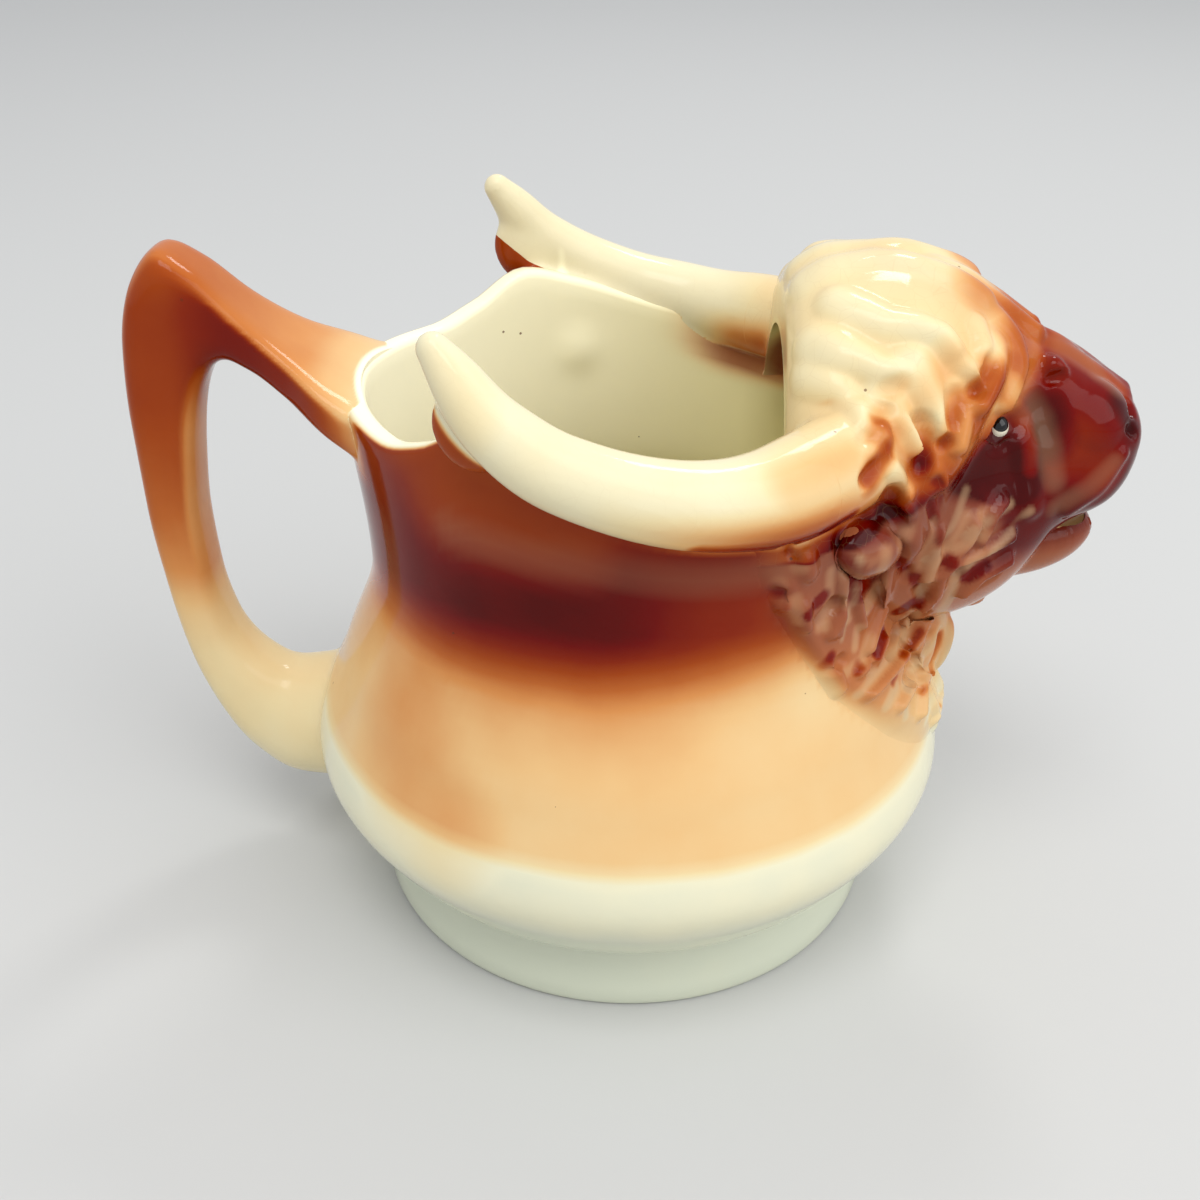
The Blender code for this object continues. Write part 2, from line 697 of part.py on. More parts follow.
def mane(side, material, cutters):
    def top(across):
        return RIM_HEIGHT - MANE_TOP_DROP

    def low(across):
        length = between(MANE_FRONT_LENGTH, MANE_BACK_LENGTH, across**MANE_CLIMB_POWER)
        return top(across) - length - scallop(across, MANE_COLUMNS, MANE_SWELL)

    name = "left_mane" if side == LEFT else "right_mane"
    angles = (side * MANE_FRONT_ANGLE, side * MANE_BACK_ANGLE)
    middle = between(MANE_FRONT_ANGLE, MANE_BACK_ANGLE, 0.5)
    apex = Vector((cos(middle), side * sin(middle), 0.0)) * (WAIST_RADIUS - 3 * WALL)
    apex.z = WAIST_HEIGHT
    form = coat_on_vessel(angles, top, low, MANE_SWELL, MANE_COLUMNS, MANE_ROWS, MANE_STEPS, apex)
    item = as_object(name, form, material)
    cut(item, cutters)
    return item


def beard(material, cutters):
    def low(across):
        climb = BEARD_CLIMB * abs(2 * across - 1)
        return BEARD_LOW_HEIGHT + climb - scallop(across, BEARD_COLUMNS, MANE_SWELL)

    def top(across):
        return BEARD_TOP_HEIGHT

    edge = MANE_FRONT_ANGLE - 2 * CLEARANCE / WAIST_RADIUS
    apex = Vector((WAIST_RADIUS - 3 * WALL, 0.0, SHOULDER_HEIGHT))
    form = coat_on_vessel((-edge, edge), top, low, BEARD_SWELL, BEARD_COLUMNS, BEARD_ROWS,
                          BEARD_STEPS, apex, BEARD_FULLNESS)
    item = as_object("beard", form, material)
    cut(item, cutters)
    return item


def forelock_form(grow=0.0):
    """A cap of locks over the skull, longest at the temples."""
    across_steps, down_steps = FORELOCK_STEPS
    patch = []
    for j in range(down_steps + 1):
        down = j / down_steps
        along = between(0.0, FORELOCK_FRONT_SHARE, down)
        spread = FORELOCK_SIDE_ANGLE * smooth_value(FORELOCK_SPREAD_SHARES, down)
        line = []
        for i in range(across_steps + 1):
            across = i / across_steps
            angle = between(-spread, spread, across)
            fade = min(coat_fade(across, 0.5), (1 - down) / FORELOCK_BROW_SHARE)
            swell = lock_swell(across, down, FORELOCK_COLUMNS, FORELOCK_ROWS)
            thickness = between(FORELOCK_EVEN_SHARE, 1.0, swell)
            lift = COAT_EDGE + FORELOCK_SWELL * thickness * fade
            line.append(head_point(along, angle, lift + grow))
        patch.append(line)
    apex = Vector((HEAD_BACK + HEAD_LENGTH * FORELOCK_APEX_SHARE, 0.0,
                   SKULL_HEIGHT * FORELOCK_DEPTH_SHARE))
    return relief(patch, apex)


def forelock(material, cutters):
    item = as_object("forelock", forelock_form(), material)
    cut(item, cutters)
    return item


def ear_form(side, grow=0.0):
    height = RIM_HEIGHT - EAR_DROP
    ahead = EAR_FORWARD / length_radius(height)
    beside = width_radius(height) * sqrt(1 - ahead**2)
    centre = Vector((EAR_FORWARD, side * (beside + MANE_SWELL), height))
    radii = (EAR_LENGTH_RADIUS, EAR_DEPTH_RADIUS, EAR_HEIGHT_RADIUS)
    lean = Matrix.Rotation(-side * EAR_TURN, 4, "Z") @ Matrix.Rotation(EAR_TILT, 4, "Y")
    return ellipsoid(centre, radii, grow, turn=lean, segments=EAR_SEGMENTS, rings=EAR_RINGS)


def side_name(side, word):
    return ("left_" if side == LEFT else "right_") + word


def build():
    clear_scene()
    ivory = (0.83, 0.74, 0.52)
    tan = (0.76, 0.50, 0.27)
    red_brown = (0.30, 0.06, 0.02)
    celadon = (0.72, 0.77, 0.68)

    foot_ring(clay("foot_glaze", celadon))
    vessel_body(clay("vessel_glaze", tan))

    filled = as_cutter("filled_vessel", filled_vessel(CLEARANCE))
    wall = as_cutter("grown_vessel_wall", loft(vessel_rings(CLEARANCE)))
    grown_head = as_cutter("grown_head", head_form(CLEARANCE))
    hollow = as_cutter("head_passage", passage())
    grown_lip = as_cutter("grown_lip", lip_form(CLEARANCE))
    grown_forelock = as_cutter("grown_forelock", forelock_form(CLEARANCE))
    grown_horns = [as_cutter(side_name(side, "grown_horn"), horn(side, CLEARANCE))
                   for side in (LEFT, RIGHT)]
    grown_eyes = [as_cutter(side_name(side, "grown_eye"), eye_form(side, CLEARANCE))
                  for side in (LEFT, RIGHT)]
    grown_ears = [as_cutter(side_name(side, "grown_ear"), ear_form(side, CLEARANCE))
                  for side in (LEFT, RIGHT)]
    nostrils = [as_cutter(side_name(side, "nostril"), nostril(side)) for side in (LEFT, RIGHT)]

    handle(clay("handle_glaze", red_brown), filled)
    bison_head(clay("face_glaze", red_brown), [filled, hollow] + grown_eyes + nostrils)
    forelock(clay("forelock_glaze", ivory), [grown_head, filled] + grown_horns + grown_eyes)
    lower_lip(clay("lip_glaze", red_brown), [grown_head, filled])
    beard(clay("beard_glaze", tan), [filled, grown_head, grown_lip])

    for index, side in enumerate((LEFT, RIGHT)):
        horn_item = as_object(side_name(side, "horn"), horn(side),
                              clay(side_name(side, "horn_glaze"), ivory))
        cut(horn_item, [wall, grown_head])
        ear = as_object(side_name(side, "ear"), ear_form(side),
                        clay(side_name(side, "ear_glaze"), red_brown))
        cut(ear, [filled, grown_head, grown_forelock, grown_horns[index]])
        as_object(side_name(side, "eye"), eye_form(side),
                  clay(side_name(side, "eye_glaze"), (0.80, 0.78, 0.70)))
        mane(side, clay(side_name(side, "mane_glaze"), red_brown),
             [filled, grown_head, grown_forelock, grown_horns[index], grown_ears[index]])


build()
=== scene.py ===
# %% [markdown]
# # A glazed bison head pitcher
# The jug was slip-cast: a belly, a handle and a bison's head were luted together with wet clay
# and covered by one glaze, so no joint shows. Hard solids alone would meet in sharp creases.
# Here each clay form is first modelled on its own from a primitive, then all are fused into one
# skin, the joints are softened, the wool is raised on that skin, and it is divided again into
# the jug's named pieces. The frame holds the measured solids that those pieces stand for.

# %% Load the frame
from math import cos, pi, radians, sin, sqrt

import bmesh
import bpy
import numpy as np
from mathutils import Matrix, Vector
from mathutils.bvhtree import BVHTree


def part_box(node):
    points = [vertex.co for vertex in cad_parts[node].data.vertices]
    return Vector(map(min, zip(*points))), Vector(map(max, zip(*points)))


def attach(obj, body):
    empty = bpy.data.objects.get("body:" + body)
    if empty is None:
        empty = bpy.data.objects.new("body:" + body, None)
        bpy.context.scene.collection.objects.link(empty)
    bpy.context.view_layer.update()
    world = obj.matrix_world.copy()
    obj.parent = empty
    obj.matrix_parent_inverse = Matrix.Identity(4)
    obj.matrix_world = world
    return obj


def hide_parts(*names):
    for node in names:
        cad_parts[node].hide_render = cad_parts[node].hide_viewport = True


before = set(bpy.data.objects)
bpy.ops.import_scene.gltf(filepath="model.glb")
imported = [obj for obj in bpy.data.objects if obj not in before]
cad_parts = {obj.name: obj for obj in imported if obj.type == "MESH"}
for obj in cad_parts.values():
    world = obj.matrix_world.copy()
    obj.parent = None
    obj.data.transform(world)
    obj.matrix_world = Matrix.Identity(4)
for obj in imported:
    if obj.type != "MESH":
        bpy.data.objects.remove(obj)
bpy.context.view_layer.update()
print("solids in the frame:", len(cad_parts))

# %% [markdown]
# ## Tools of the bench
# An operator acts on whatever is selected, so every step starts by deselecting all and picking
# one piece. A modifier is set, then applied, which leaves plain mesh behind.

# %% Select and apply


def only(piece):
    """Select one piece and nothing else, in object mode."""
    if bpy.context.object and bpy.context.object.mode != "OBJECT":
        bpy.ops.object.mode_set(mode="OBJECT")
    bpy.ops.object.select_all(action="DESELECT")
    piece.select_set(True)
    bpy.context.view_layer.objects.active = piece
    return piece


def finish_with(piece, kind, **settings):
    """Add a modifier, set it and apply it."""
    only(piece)
    modifier = piece.modifiers.new(kind.title(), kind)
    for key, value in settings.items():
        setattr(modifier, key, value)
    bpy.ops.object.modifier_apply(modifier=modifier.name)
    return piece


def copied(piece, name):
    only(piece)
    bpy.ops.object.duplicate()
    twin = bpy.context.object
    twin.name = name
    twin.data.name = name
    return twin


def carved(piece, cutter, operation="DIFFERENCE"):
    """Cut one closed form with another."""
    return finish_with(piece, "BOOLEAN", operation=operation, object=cutter, solver="MANIFOLD")


def discard(*pieces):
    for piece in pieces:
        bpy.data.objects.remove(piece)


def corners(piece):
    """All vertices of a piece, as rows of an array."""
    flat = np.empty(len(piece.data.vertices) * 3, np.float32)
    piece.data.vertices.foreach_get("co", flat)
    return flat.reshape(-1, 3).astype(float)


def surface(piece):
    """A search tree for the nearest point of a piece."""
    shape = bmesh.new()
    shape.from_mesh(piece.data)
    tree = BVHTree.FromBMesh(shape)
    shape.free()
    return tree


# %% [markdown]
# ## Smooth curves
# A potter's profile is a few measured places joined by a fair line. `along_curve` reads such a
# line without bumps between the places.

# %% Fair curves


def along_curve(rows, at, column=1):
    """Value of a fair curve through rows of (place, value, ...)."""
    places = [row[0] for row in rows]
    values = [row[column] for row in rows]
    at = min(max(at, places[0]), places[-1])
    last = len(rows) - 1
    index = max(i for i in range(last) if places[i] <= at)
    gaps = [places[i + 1] - places[i] for i in range(last)]
    steps = [(values[i + 1] - values[i]) / gaps[i] for i in range(last)]

    def slope(i):
        if i in (0, last):
            return steps[0] if i == 0 else steps[-1]
        if steps[i - 1] * steps[i] <= 0:
            return 0.0
        weight = 3 * (gaps[i - 1] + gaps[i])
        before = (2 * gaps[i] + gaps[i - 1]) / steps[i - 1]
        after = (gaps[i] + 2 * gaps[i - 1]) / steps[i]
        return weight / (before + after)

    gap = gaps[index]
    t = (at - places[index]) / gap
    start = values[index] * (2 * t**3 - 3 * t**2 + 1)
    end = values[index + 1] * (3 * t**2 - 2 * t**3)
    leave = slope(index) * gap * (t**3 - 2 * t**2 + t)
    arrive = slope(index + 1) * gap * (t**3 - t**2)
    return start + end + leave + arrive


def between(low, high, share):
    return low + (high - low) * share


def ease(low, high, value):
    """0 below low, 1 above high, and a soft step between. Works on numbers and arrays."""
    t = np.clip((value - low) / (high - low), 0.0, 1.0)
    return t * t * (3 - 2 * t)


# %% Sweeps


def sweep(name, rings):
    """A circle primitive, extruded ring by ring in edit mode and capped at both ends."""
    count = len(rings[0])
    bpy.ops.object.select_all(action="DESELECT")
    bpy.ops.mesh.primitive_circle_add(vertices=count, radius=0.01, fill_type="NGON")
    piece = bpy.context.object
    piece.name = piece.data.name = name
    bpy.ops.object.mode_set(mode="EDIT")
    shape = bmesh.from_edit_mesh(piece.data)
    order = {vert: i for i, vert in enumerate(shape.verts)}
    for vert, i in order.items():
        vert.co = rings[0][i]
    for ring in rings[1:]:
        bmesh.update_edit_mesh(piece.data)
        bpy.ops.mesh.extrude_region_move()
        shape = bmesh.from_edit_mesh(piece.data)
        order_now = {}
        for vert in shape.verts:
            if vert.select:
                old = next(e.other_vert(vert) for e in vert.link_edges
                           if not e.other_vert(vert).select)
                order_now[vert] = order[old]
        for vert, i in order_now.items():
            vert.co = ring[i]
        order = order_now
    bmesh.update_edit_mesh(piece.data)
    bpy.ops.mesh.select_all(action="SELECT")
    bpy.ops.mesh.normals_make_consistent(inside=False)
    bpy.ops.object.mode_set(mode="OBJECT")
    return piece


# %% [markdown]
# ## Camera
# The photograph looks down on the jug's right side. The same lens and place are used here, and
# `seen` finds what point of a form lies under a pixel of the 1200-pixel picture, so that every
# lock of wool can be put where it is seen and still lie on the form that carries it.

# %% Camera
LENS = 40.5
SENSOR = 36.0
PICTURE = 1200
CAMERA_PLACE = Vector((0.00308, -0.22185, 0.19541))
AZIMUTH, ELEVATION, ROLL = radians(2.231), radians(31.902), radians(0.321)
NEAREST_SEEN = 0.01


def camera_frame(azimuth, elevation, roll):
    back = Vector((sin(azimuth) * cos(elevation), -cos(azimuth) * cos(elevation), sin(elevation)))
    right = Vector((cos(azimuth), sin(azimuth), 0.0))
    up = back.cross(right)
    turned_right = right * cos(roll) + up * sin(roll)
    turned_up = up * cos(roll) - right * sin(roll)
    return Matrix((turned_right, turned_up, back)).transposed()


bpy.ops.object.select_all(action="DESELECT")
bpy.ops.object.camera_add()
camera = bpy.context.object
camera.name = "camera"
camera.data.lens = LENS
camera.data.sensor_width = SENSOR
camera.data.clip_start = NEAREST_SEEN
camera_turn = camera_frame(AZIMUTH, ELEVATION, ROLL)
camera.matrix_world = Matrix.Translation(CAMERA_PLACE) @ camera_turn.to_4x4()
bpy.context.scene.camera = camera
print("camera:", round(CAMERA_PLACE.length, 3), "m from the middle of the foot")

# %% Look through the lens


def seen(tree, x, y):
    """The first point of a form under a pixel of the photograph."""
    reach = LENS / SENSOR * PICTURE
    half = PICTURE / 2
    way = camera_turn @ Vector(((x - half) / reach, (half - y) / reach, -1.0))
    return tree.ray_cast(CAMERA_PLACE, way.normalized())[0]


# %% [markdown]
# ## Vessel
# The belly is round, the neck narrows to an oval, and the rim dips to a throat in front, where
# the head joins, and climbs again under the horns. A spin can't follow that rim, so a circle is
# pulled up ring by ring: up the outside, over the rim and down the inside.

# %% Vessel sizes
WALL = 0.0043
FLOOR_TOP = 0.0160
FLOOR_ROUND = 0.0060
RIM_ROUND = 0.0014
FOOT_TOP = 0.0115
SHOULDER = 0.0500
RIM = 0.1040
THROAT = 0.0640
RIM_LENGTH = 0.0512
RIM_WIDTH = 0.0440
WAIST_RADIUS = 0.0480
# The gap that the frame's solids keep between the foot ring and the vessel
SEAM = 0.0003
# Height, and radius along the jug's length
PROFILE = ((FOOT_TOP, 0.0476), (0.0195, 0.0548), (0.0330, 0.0612), (SHOULDER, 0.0550),
           (0.0710, WAIST_RADIUS), (RIM, RIM_LENGTH))
# Turn from the nose as a share of half a circle, and share of the climb from throat to rim
RIM_LINE = ((0.0, 0.0), (0.067, 0.10), (0.139, 0.45), (0.222, 0.79), (0.306, 0.87),
            (0.472, 0.97), (0.583, 1.10), (0.65, 1.16), (0.722, 1.03), (0.79, 0.965),
            (0.86, 0.975), (1.0, 1.0))
# How late on its way up the round vessel becomes oval
OVAL_DELAY = 1.2
VESSEL_COUNT = 160

# %% Vessel rings


def length_radius(height):
    return along_curve(PROFILE, height)


def width_radius(height):
    climb = min(max((height - SHOULDER) / (RIM - SHOULDER), 0.0), 1.0)
    return length_radius(height) * between(1.0, RIM_WIDTH / RIM_LENGTH, climb**OVAL_DELAY)


def rim_height(angle):
    turn = abs(((angle + pi) % (2 * pi)) - pi) / pi
    return between(THROAT, RIM, along_curve(RIM_LINE, turn))


def vessel_ring(nominal, inset=0.0, lift=0.0, scale=1.0):
    """One ring of the vessel; above its shoulder it climbs with the rim line."""
    ring = []
    for i in range(VESSEL_COUNT):
        angle = 2 * pi * i / VESSEL_COUNT
        height = nominal
        if nominal > SHOULDER:
            climb = (nominal - SHOULDER) / (RIM - SHOULDER)
            height = between(SHOULDER, rim_height(angle), climb)
        x = (length_radius(height) - inset) * cos(angle) * scale
        y = (width_radius(height) - inset) * sin(angle) * scale
        ring.append(Vector((x, y, height + lift)))
    return ring


def spaced(low, high, count):
    return [between(low, high, i / (count - 1)) for i in range(count)]


def outside(inset=0.0, lift=0.0):
    """Rings up the outside, from the middle of the underside to the rim's outer round."""
    low = FOOT_TOP + SEAM
    rings = [vessel_ring(low, inset, lift, share) for share in (0.02, 0.5, 0.9)]
    belly = spaced(FOOT_TOP + 0.002, SHOULDER, 22)
    neck = spaced(SHOULDER, RIM - RIM_ROUND, 26)[1:]
    rings += [vessel_ring(height, inset, lift if height > SHOULDER else 0.0)
              for height in [low] + belly + neck]
    for turn in (30, 60, 90):
        away = RIM_ROUND * (1 - cos(radians(turn)))
        up = RIM_ROUND * sin(radians(turn))
        rings.append(vessel_ring(RIM - RIM_ROUND + up, inset + away, lift))
    return rings


def over_and_down(trim=0.0):
    """Rings over the rim and down the inside to the middle of the floor."""
    rings = []
    wall = WALL - trim
    for turn in (90, 60, 30, 0):
        away = wall - RIM_ROUND * (1 - cos(radians(turn)))
        rings.append(vessel_ring(RIM - RIM_ROUND + RIM_ROUND * sin(radians(turn)), away, -trim))
    neck = spaced(RIM - RIM_ROUND, SHOULDER, 22)[1:]
    belly = spaced(SHOULDER, FLOOR_TOP + FLOOR_ROUND, 14)[1:]
    rings += [vessel_ring(height, wall) for height in neck + belly]
    for turn in (30, 60, 90):
        away = FLOOR_ROUND * (1 - cos(radians(turn)))
        down = FLOOR_ROUND * sin(radians(turn))
        rings.append(vessel_ring(FLOOR_TOP + FLOOR_ROUND - down, wall + away))
    rings += [vessel_ring(FLOOR_TOP, wall + FLOOR_ROUND, 0.0, share) for share in (0.8, 0.4, 0.02)]
    return rings


# %% Vessel
vessel = sweep("vessel", outside() + over_and_down())
print("vessel:", len(vessel.data.polygons), "faces")

# %% [markdown]
# ## Foot
# The jug stands on a low flared ring, hollow underneath. Its outline is swept down the inside,
# over the rounded edge that stands on the table and up the flared outside, and the last ring is
# bridged back to the first, so that the ring is closed without any cap.

# %% Foot ring
FOOT_RADIUS = 0.0500
FOOT_WAIST = 0.0476
FOOT_INNER = 0.0438
# Radius and height
FOOT_ROWS = (
    (FOOT_INNER, FOOT_TOP), (FOOT_INNER, 0.0016), (FOOT_INNER + 0.0004, 0.0006),
    (FOOT_INNER + 0.0014, 0.0), (FOOT_RADIUS - 0.0016, 0.0), (FOOT_RADIUS - 0.0004, 0.0006),
    (FOOT_RADIUS, 0.0018), (FOOT_RADIUS - 0.0006, 0.0045), (0.0481, 0.0075),
    (FOOT_WAIST, 0.0098), (FOOT_WAIST, FOOT_TOP),
)


def foot_rings():
    rings = []
    for radius, height in FOOT_ROWS:
        rings.append([Vector((radius * cos(2 * pi * i / VESSEL_COUNT),
                              radius * sin(2 * pi * i / VESSEL_COUNT), height))
                      for i in range(VESSEL_COUNT)])
    return rings


def ring_shell(name, rings):
    """A sweep whose last ring is bridged back to its first, as for a ring-shaped body."""
    piece = sweep(name, rings)
    bpy.ops.object.mode_set(mode="EDIT")
    bpy.ops.mesh.select_all(action="DESELECT")
    shape = bmesh.from_edit_mesh(piece.data)
    caps = [face for face in shape.faces if len(face.verts) > 4]
    for face in caps:
        face.select = True
    bpy.ops.mesh.bridge_edge_loops()
    bpy.ops.mesh.select_all(action="SELECT")
    bpy.ops.mesh.normals_make_consistent(inside=False)
    bpy.ops.object.mode_set(mode="OBJECT")
    return piece


foot = ring_shell("foot", foot_rings())
print("foot ring:", round(2000 * FOOT_RADIUS), "mm across,", len(foot.data.polygons), "faces")

# %% [markdown]
# ## Handle
# A flat strap: its top arm is broad and level where it leaves the rim, narrows to a peak, drops
# as a loop for the fingers and runs out on the belly. Boxy rings with rounded corners give the
# crisp edges of the top arm; rounder ones suit the grip.

# %% Handle sizes
HANDLE_REACH = 0.0897
HANDLE_RISE = 0.0218
HANDLE_FLARE = 0.0210
HANDLE_HALF = 0.0070
HANDLE_FOOT_HALF = 0.0140
# Outer line (out, height, rise), inner line (out, height, rise), width, squareness
HANDLE_ROWS = (
    ((-0.24, 0.965, 0.0), (-0.24, 0.85, 0.0), 1.0, 0.45),
    ((0.09, 1.0, 0.10), (0.09, 0.925, 0.0), 0.62, 0.42),
    ((0.28, 1.0, 0.30), (0.27, 0.975, 0.0), 0.25, 0.40),
    ((0.47, 1.0, 0.57), (0.42, 1.0, 0.05), 0.06, 0.42),
    ((0.64, 1.0, 0.87), (0.53, 1.0, 0.12), 0.0, 0.48),
    ((0.77, 1.0, 1.0), (0.60, 1.0, 0.06), 0.0, 0.58),
    ((0.895, 1.0, 0.76), (0.655, 0.98, 0.0), 0.0, 0.62),
    ((0.975, 1.0, 0.27), (0.70, 0.925, 0.0), 0.0, 0.62),
    ((1.0, 0.915, 0.0), (0.74, 0.83, 0.0), 0.0, 0.62),
    ((1.0, 0.75, 0.0), (0.765, 0.71, 0.0), 0.0, 0.64),
    ((0.975, 0.595, 0.0), (0.755, 0.595, 0.0), 0.0, 0.68),
    ((0.925, 0.44, 0.0), (0.705, 0.495, 0.0), 0.0, 0.72),
    ((0.830, 0.315, 0.0), (0.595, 0.425, 0.0), -0.1, 0.78),
    ((0.680, 0.212, 0.0), (0.44, 0.39, 0.0), -0.3, 0.85),
    ((0.460, 0.160, 0.0), (0.28, 0.395, 0.0), -0.7, 0.9),
    ((0.040, 0.150, 0.0), (0.02, 0.43, 0.0), -1.0, 0.95),
)

# %% Handle


def boxy(wave, squareness):
    """A sine or cosine pushed out toward the corners of a box; 1 leaves it round."""
    pushed = abs(wave) ** squareness
    return pushed if wave >= 0 else -pushed


def handle_ring(low, high, half, squareness, count):
    """A ring between two points of the jug's middle plane, with rounded corners."""
    middle, reach = (low + high) / 2, (high - low) / 2
    ring = []
    for i in range(count):
        angle = 2 * pi * i / count
        side = Vector((0.0, half * boxy(cos(angle), squareness), 0.0))
        ring.append(middle + side + reach * boxy(sin(angle), squareness))
    return ring


def handle_point(shares):
    out, height, rise = shares
    return (-between(WAIST_RADIUS, HANDLE_REACH, out), RIM * height + HANDLE_RISE * rise)


def handle_rings(steps=96, count=56):
    rows = [(i, *handle_point(row[0]), *handle_point(row[1]), row[2], row[3])
            for i, row in enumerate(HANDLE_ROWS)]
    rings = []
    for step in range(steps + 1):
        at = (len(rows) - 1) * step / steps
        outer_x, outer_z, inner_x, inner_z, width, squareness = (
            along_curve(rows, at, column) for column in range(1, 7))
        widest = HANDLE_FLARE if width > 0 else HANDLE_FOOT_HALF
        half = between(HANDLE_HALF, widest, abs(width))
        rings.append(handle_ring(Vector((inner_x, 0, inner_z)), Vector((outer_x, 0, outer_z)),
                                 half, squareness, count))
    return rings


handle_form = sweep("handle_form", handle_rings())
print("handle:", len(handle_form.data.polygons), "faces")

# %% [markdown]
# ## Horns
# Each horn is a long cone bent along the rim: thick at the temple, level beside the opening, and
# rising to a blunt free tip at the back. A circle is swept along its line.

# %% Horns
HORN_SPREAD = 0.0478
HORN_TIP_BACK = 0.0277
HORN_TIP_HEIGHT = 0.1247
HORN_LOW = 0.1013
HORN_ROOT = 0.0400
# Share from tip to root, then spread to the side, or rise, or girth
HORN_LINE = ((0.0, 0.89, 1.0), (0.125, 0.955, 0.55), (0.27, 0.99, 0.28), (0.49, 0.975, 0.08),
             (0.71, 0.865, 0.0), (0.86, 0.69, 0.03), (1.0, 0.46, 0.08))
HORN_GIRTH = ((0.0, 0.0026), (0.06, 0.0043), (0.20, 0.0056), (0.42, 0.0063), (0.62, 0.0070),
              (0.80, 0.0081), (1.0, 0.0083))
# Rings that round the blunt tip off, as shares of its radius
TIP_SHARES = (0.12, 0.35, 0.6, 0.8, 0.95)
# Above 1 the rings stand closer toward the tip
TIP_CROWDING = 1.15


def horn_centre(along, side):
    return Vector((between(-HORN_TIP_BACK, HORN_ROOT, along),
                   side * HORN_SPREAD * along_curve(HORN_LINE, along, 1),
                   between(HORN_LOW, HORN_TIP_HEIGHT, along_curve(HORN_LINE, along, 2))))


def round_ring(centre, way, radius, count):
    across = way.cross(Vector((0, 0, 1))).normalized()
    upright = across.cross(way)
    angles = [2 * pi * i / count for i in range(count)]
    return [centre + (across * cos(angle) + upright * sin(angle)) * radius for angle in angles]


def horn_rings(side, grow=0.0, until=1.0, count=32, steps=60):
    start = horn_centre(0.0, side)
    way = (horn_centre(0.04, side) - start).normalized()
    tip = along_curve(HORN_GIRTH, 0.0) + grow
    rings = []
    for share in TIP_SHARES:
        depth = tip * (1 - sqrt(1 - share**2))
        rings.append(round_ring(start - way * (tip - depth), way, tip * share, count))
    for step in range(steps + 1):
        along = until * (step / steps) ** TIP_CROWDING
        way = (horn_centre(min(along + 0.02, 1.0), side)
               - horn_centre(max(along - 0.02, 0.0), side)).normalized()
        rings.append(round_ring(horn_centre(along, side), way,
                                along_curve(HORN_GIRTH, along) + grow, count))
    return rings


horn_forms = {side: sweep("horn_form", horn_rings(side)) for side in (1, -1)}
print("horns:", sum(len(form.data.polygons) for form in horn_forms.values()), "faces")

# %% [markdown]
# ## Head
# The skull is a long egg that starts behind the crown and ends in a blunt muzzle. It is drawn as
# sections from back to nose, each with a top, a bottom and a half width.

# %% Skull
HEAD_BACK = 0.0250
NOSE = 0.0883
SKULL = 0.1208
HEAD_HALF = 0.0250
# Below 1 the skull's sections are a little fuller than an egg's
SKULL_SQUARENESS = 0.9
# Above 1 the rings stand closer toward the nose
NOSE_CROWDING = 1.35
# Share from back to nose, top and bottom as shares of the skull's height, half width
HEAD_ROWS = (
    (0.0, 0.965, 0.50, 0.95), (0.13, 0.995, 0.50, 1.0), (0.28, 1.0, 0.50, 1.0),
    (0.43, 0.98, 0.51, 0.92), (0.55, 0.952, 0.525, 0.78), (0.645, 0.939, 0.555, 0.66),
    (0.70, 0.934, 0.595, 0.615), (0.745, 0.926, 0.643, 0.585), (0.80, 0.91, 0.675, 0.56),
    (0.865, 0.888, 0.698, 0.54), (0.92, 0.867, 0.726, 0.49), (0.97, 0.845, 0.758, 0.38),
    (1.0, 0.815, 0.782, 0.16),
)


def head_section(along):
    top = SKULL * along_curve(HEAD_ROWS, along, 1)
    bottom = SKULL * along_curve(HEAD_ROWS, along, 2)
    return (top + bottom) / 2, (top - bottom) / 2, HEAD_HALF * along_curve(HEAD_ROWS, along, 3)


def head_place(along, angle, lift):
    """A place on the skull, or lifted off it; the angle is counted from the crown."""
    middle, half_height, half_width = head_section(along)
    y = (half_width + lift) * boxy(sin(angle), SKULL_SQUARENESS)
    z = middle + (half_height + lift) * boxy(cos(angle), SKULL_SQUARENESS)
    return Vector((between(HEAD_BACK, NOSE, along), y, z))


def head_rings(grow=0.0, count=72, steps=56):
    alongs = [1 - (1 - step / steps) ** NOSE_CROWDING for step in range(steps + 1)]
    return [[head_place(along, 2 * pi * i / count, grow) for i in range(count)]
            for along in alongs]


head_form = sweep("head_form", head_rings())
print("skull:", len(head_form.data.polygons), "faces")

# %% Cap of wool
# Its reach toward the brow, how far it spreads down the sides and its thickness, both from its
# back edge to its front edge
CAP_REACH = 0.68
CAP_SPREAD = radians(103)
CAP_BEDDING = 0.0015
CAP_UNDERCUT = 0.97
SPREAD_ROWS = ((0.0, 1.0), (0.45, 1.0), (0.62, 0.86), (0.76, 0.62), (0.86, 0.47), (1.0, 0.25))
THICKNESS_ROWS = ((0.0, 0.0026), (0.02, 0.0044), (0.06, 0.0055), (0.15, 0.0059), (0.70, 0.0059),
                  (0.82, 0.0046), (0.92, 0.0024), (1.0, 0.0004))


def cap_rings(count=60, steps=44):
    rings = []
    for step in range(steps + 1):
        down = step / steps
        along = CAP_REACH * down
        spread = CAP_SPREAD * along_curve(SPREAD_ROWS, down)
        thickness = along_curve(THICKNESS_ROWS, down)
        shares = [2 * i / count - 1 for i in range(count + 1)]
        outer = [head_place(along, spread * share, thickness * ease(1.0, 0.8, abs(share)))
                 for share in shares]
        inner = [head_place(along, spread * share * CAP_UNDERCUT, -CAP_BEDDING)
                 for share in shares]
        rings.append(outer + inner[::-1])
    return rings


cap_form = sweep("cap_form", cap_rings())
print("cap:", len(cap_form.data.polygons), "faces")

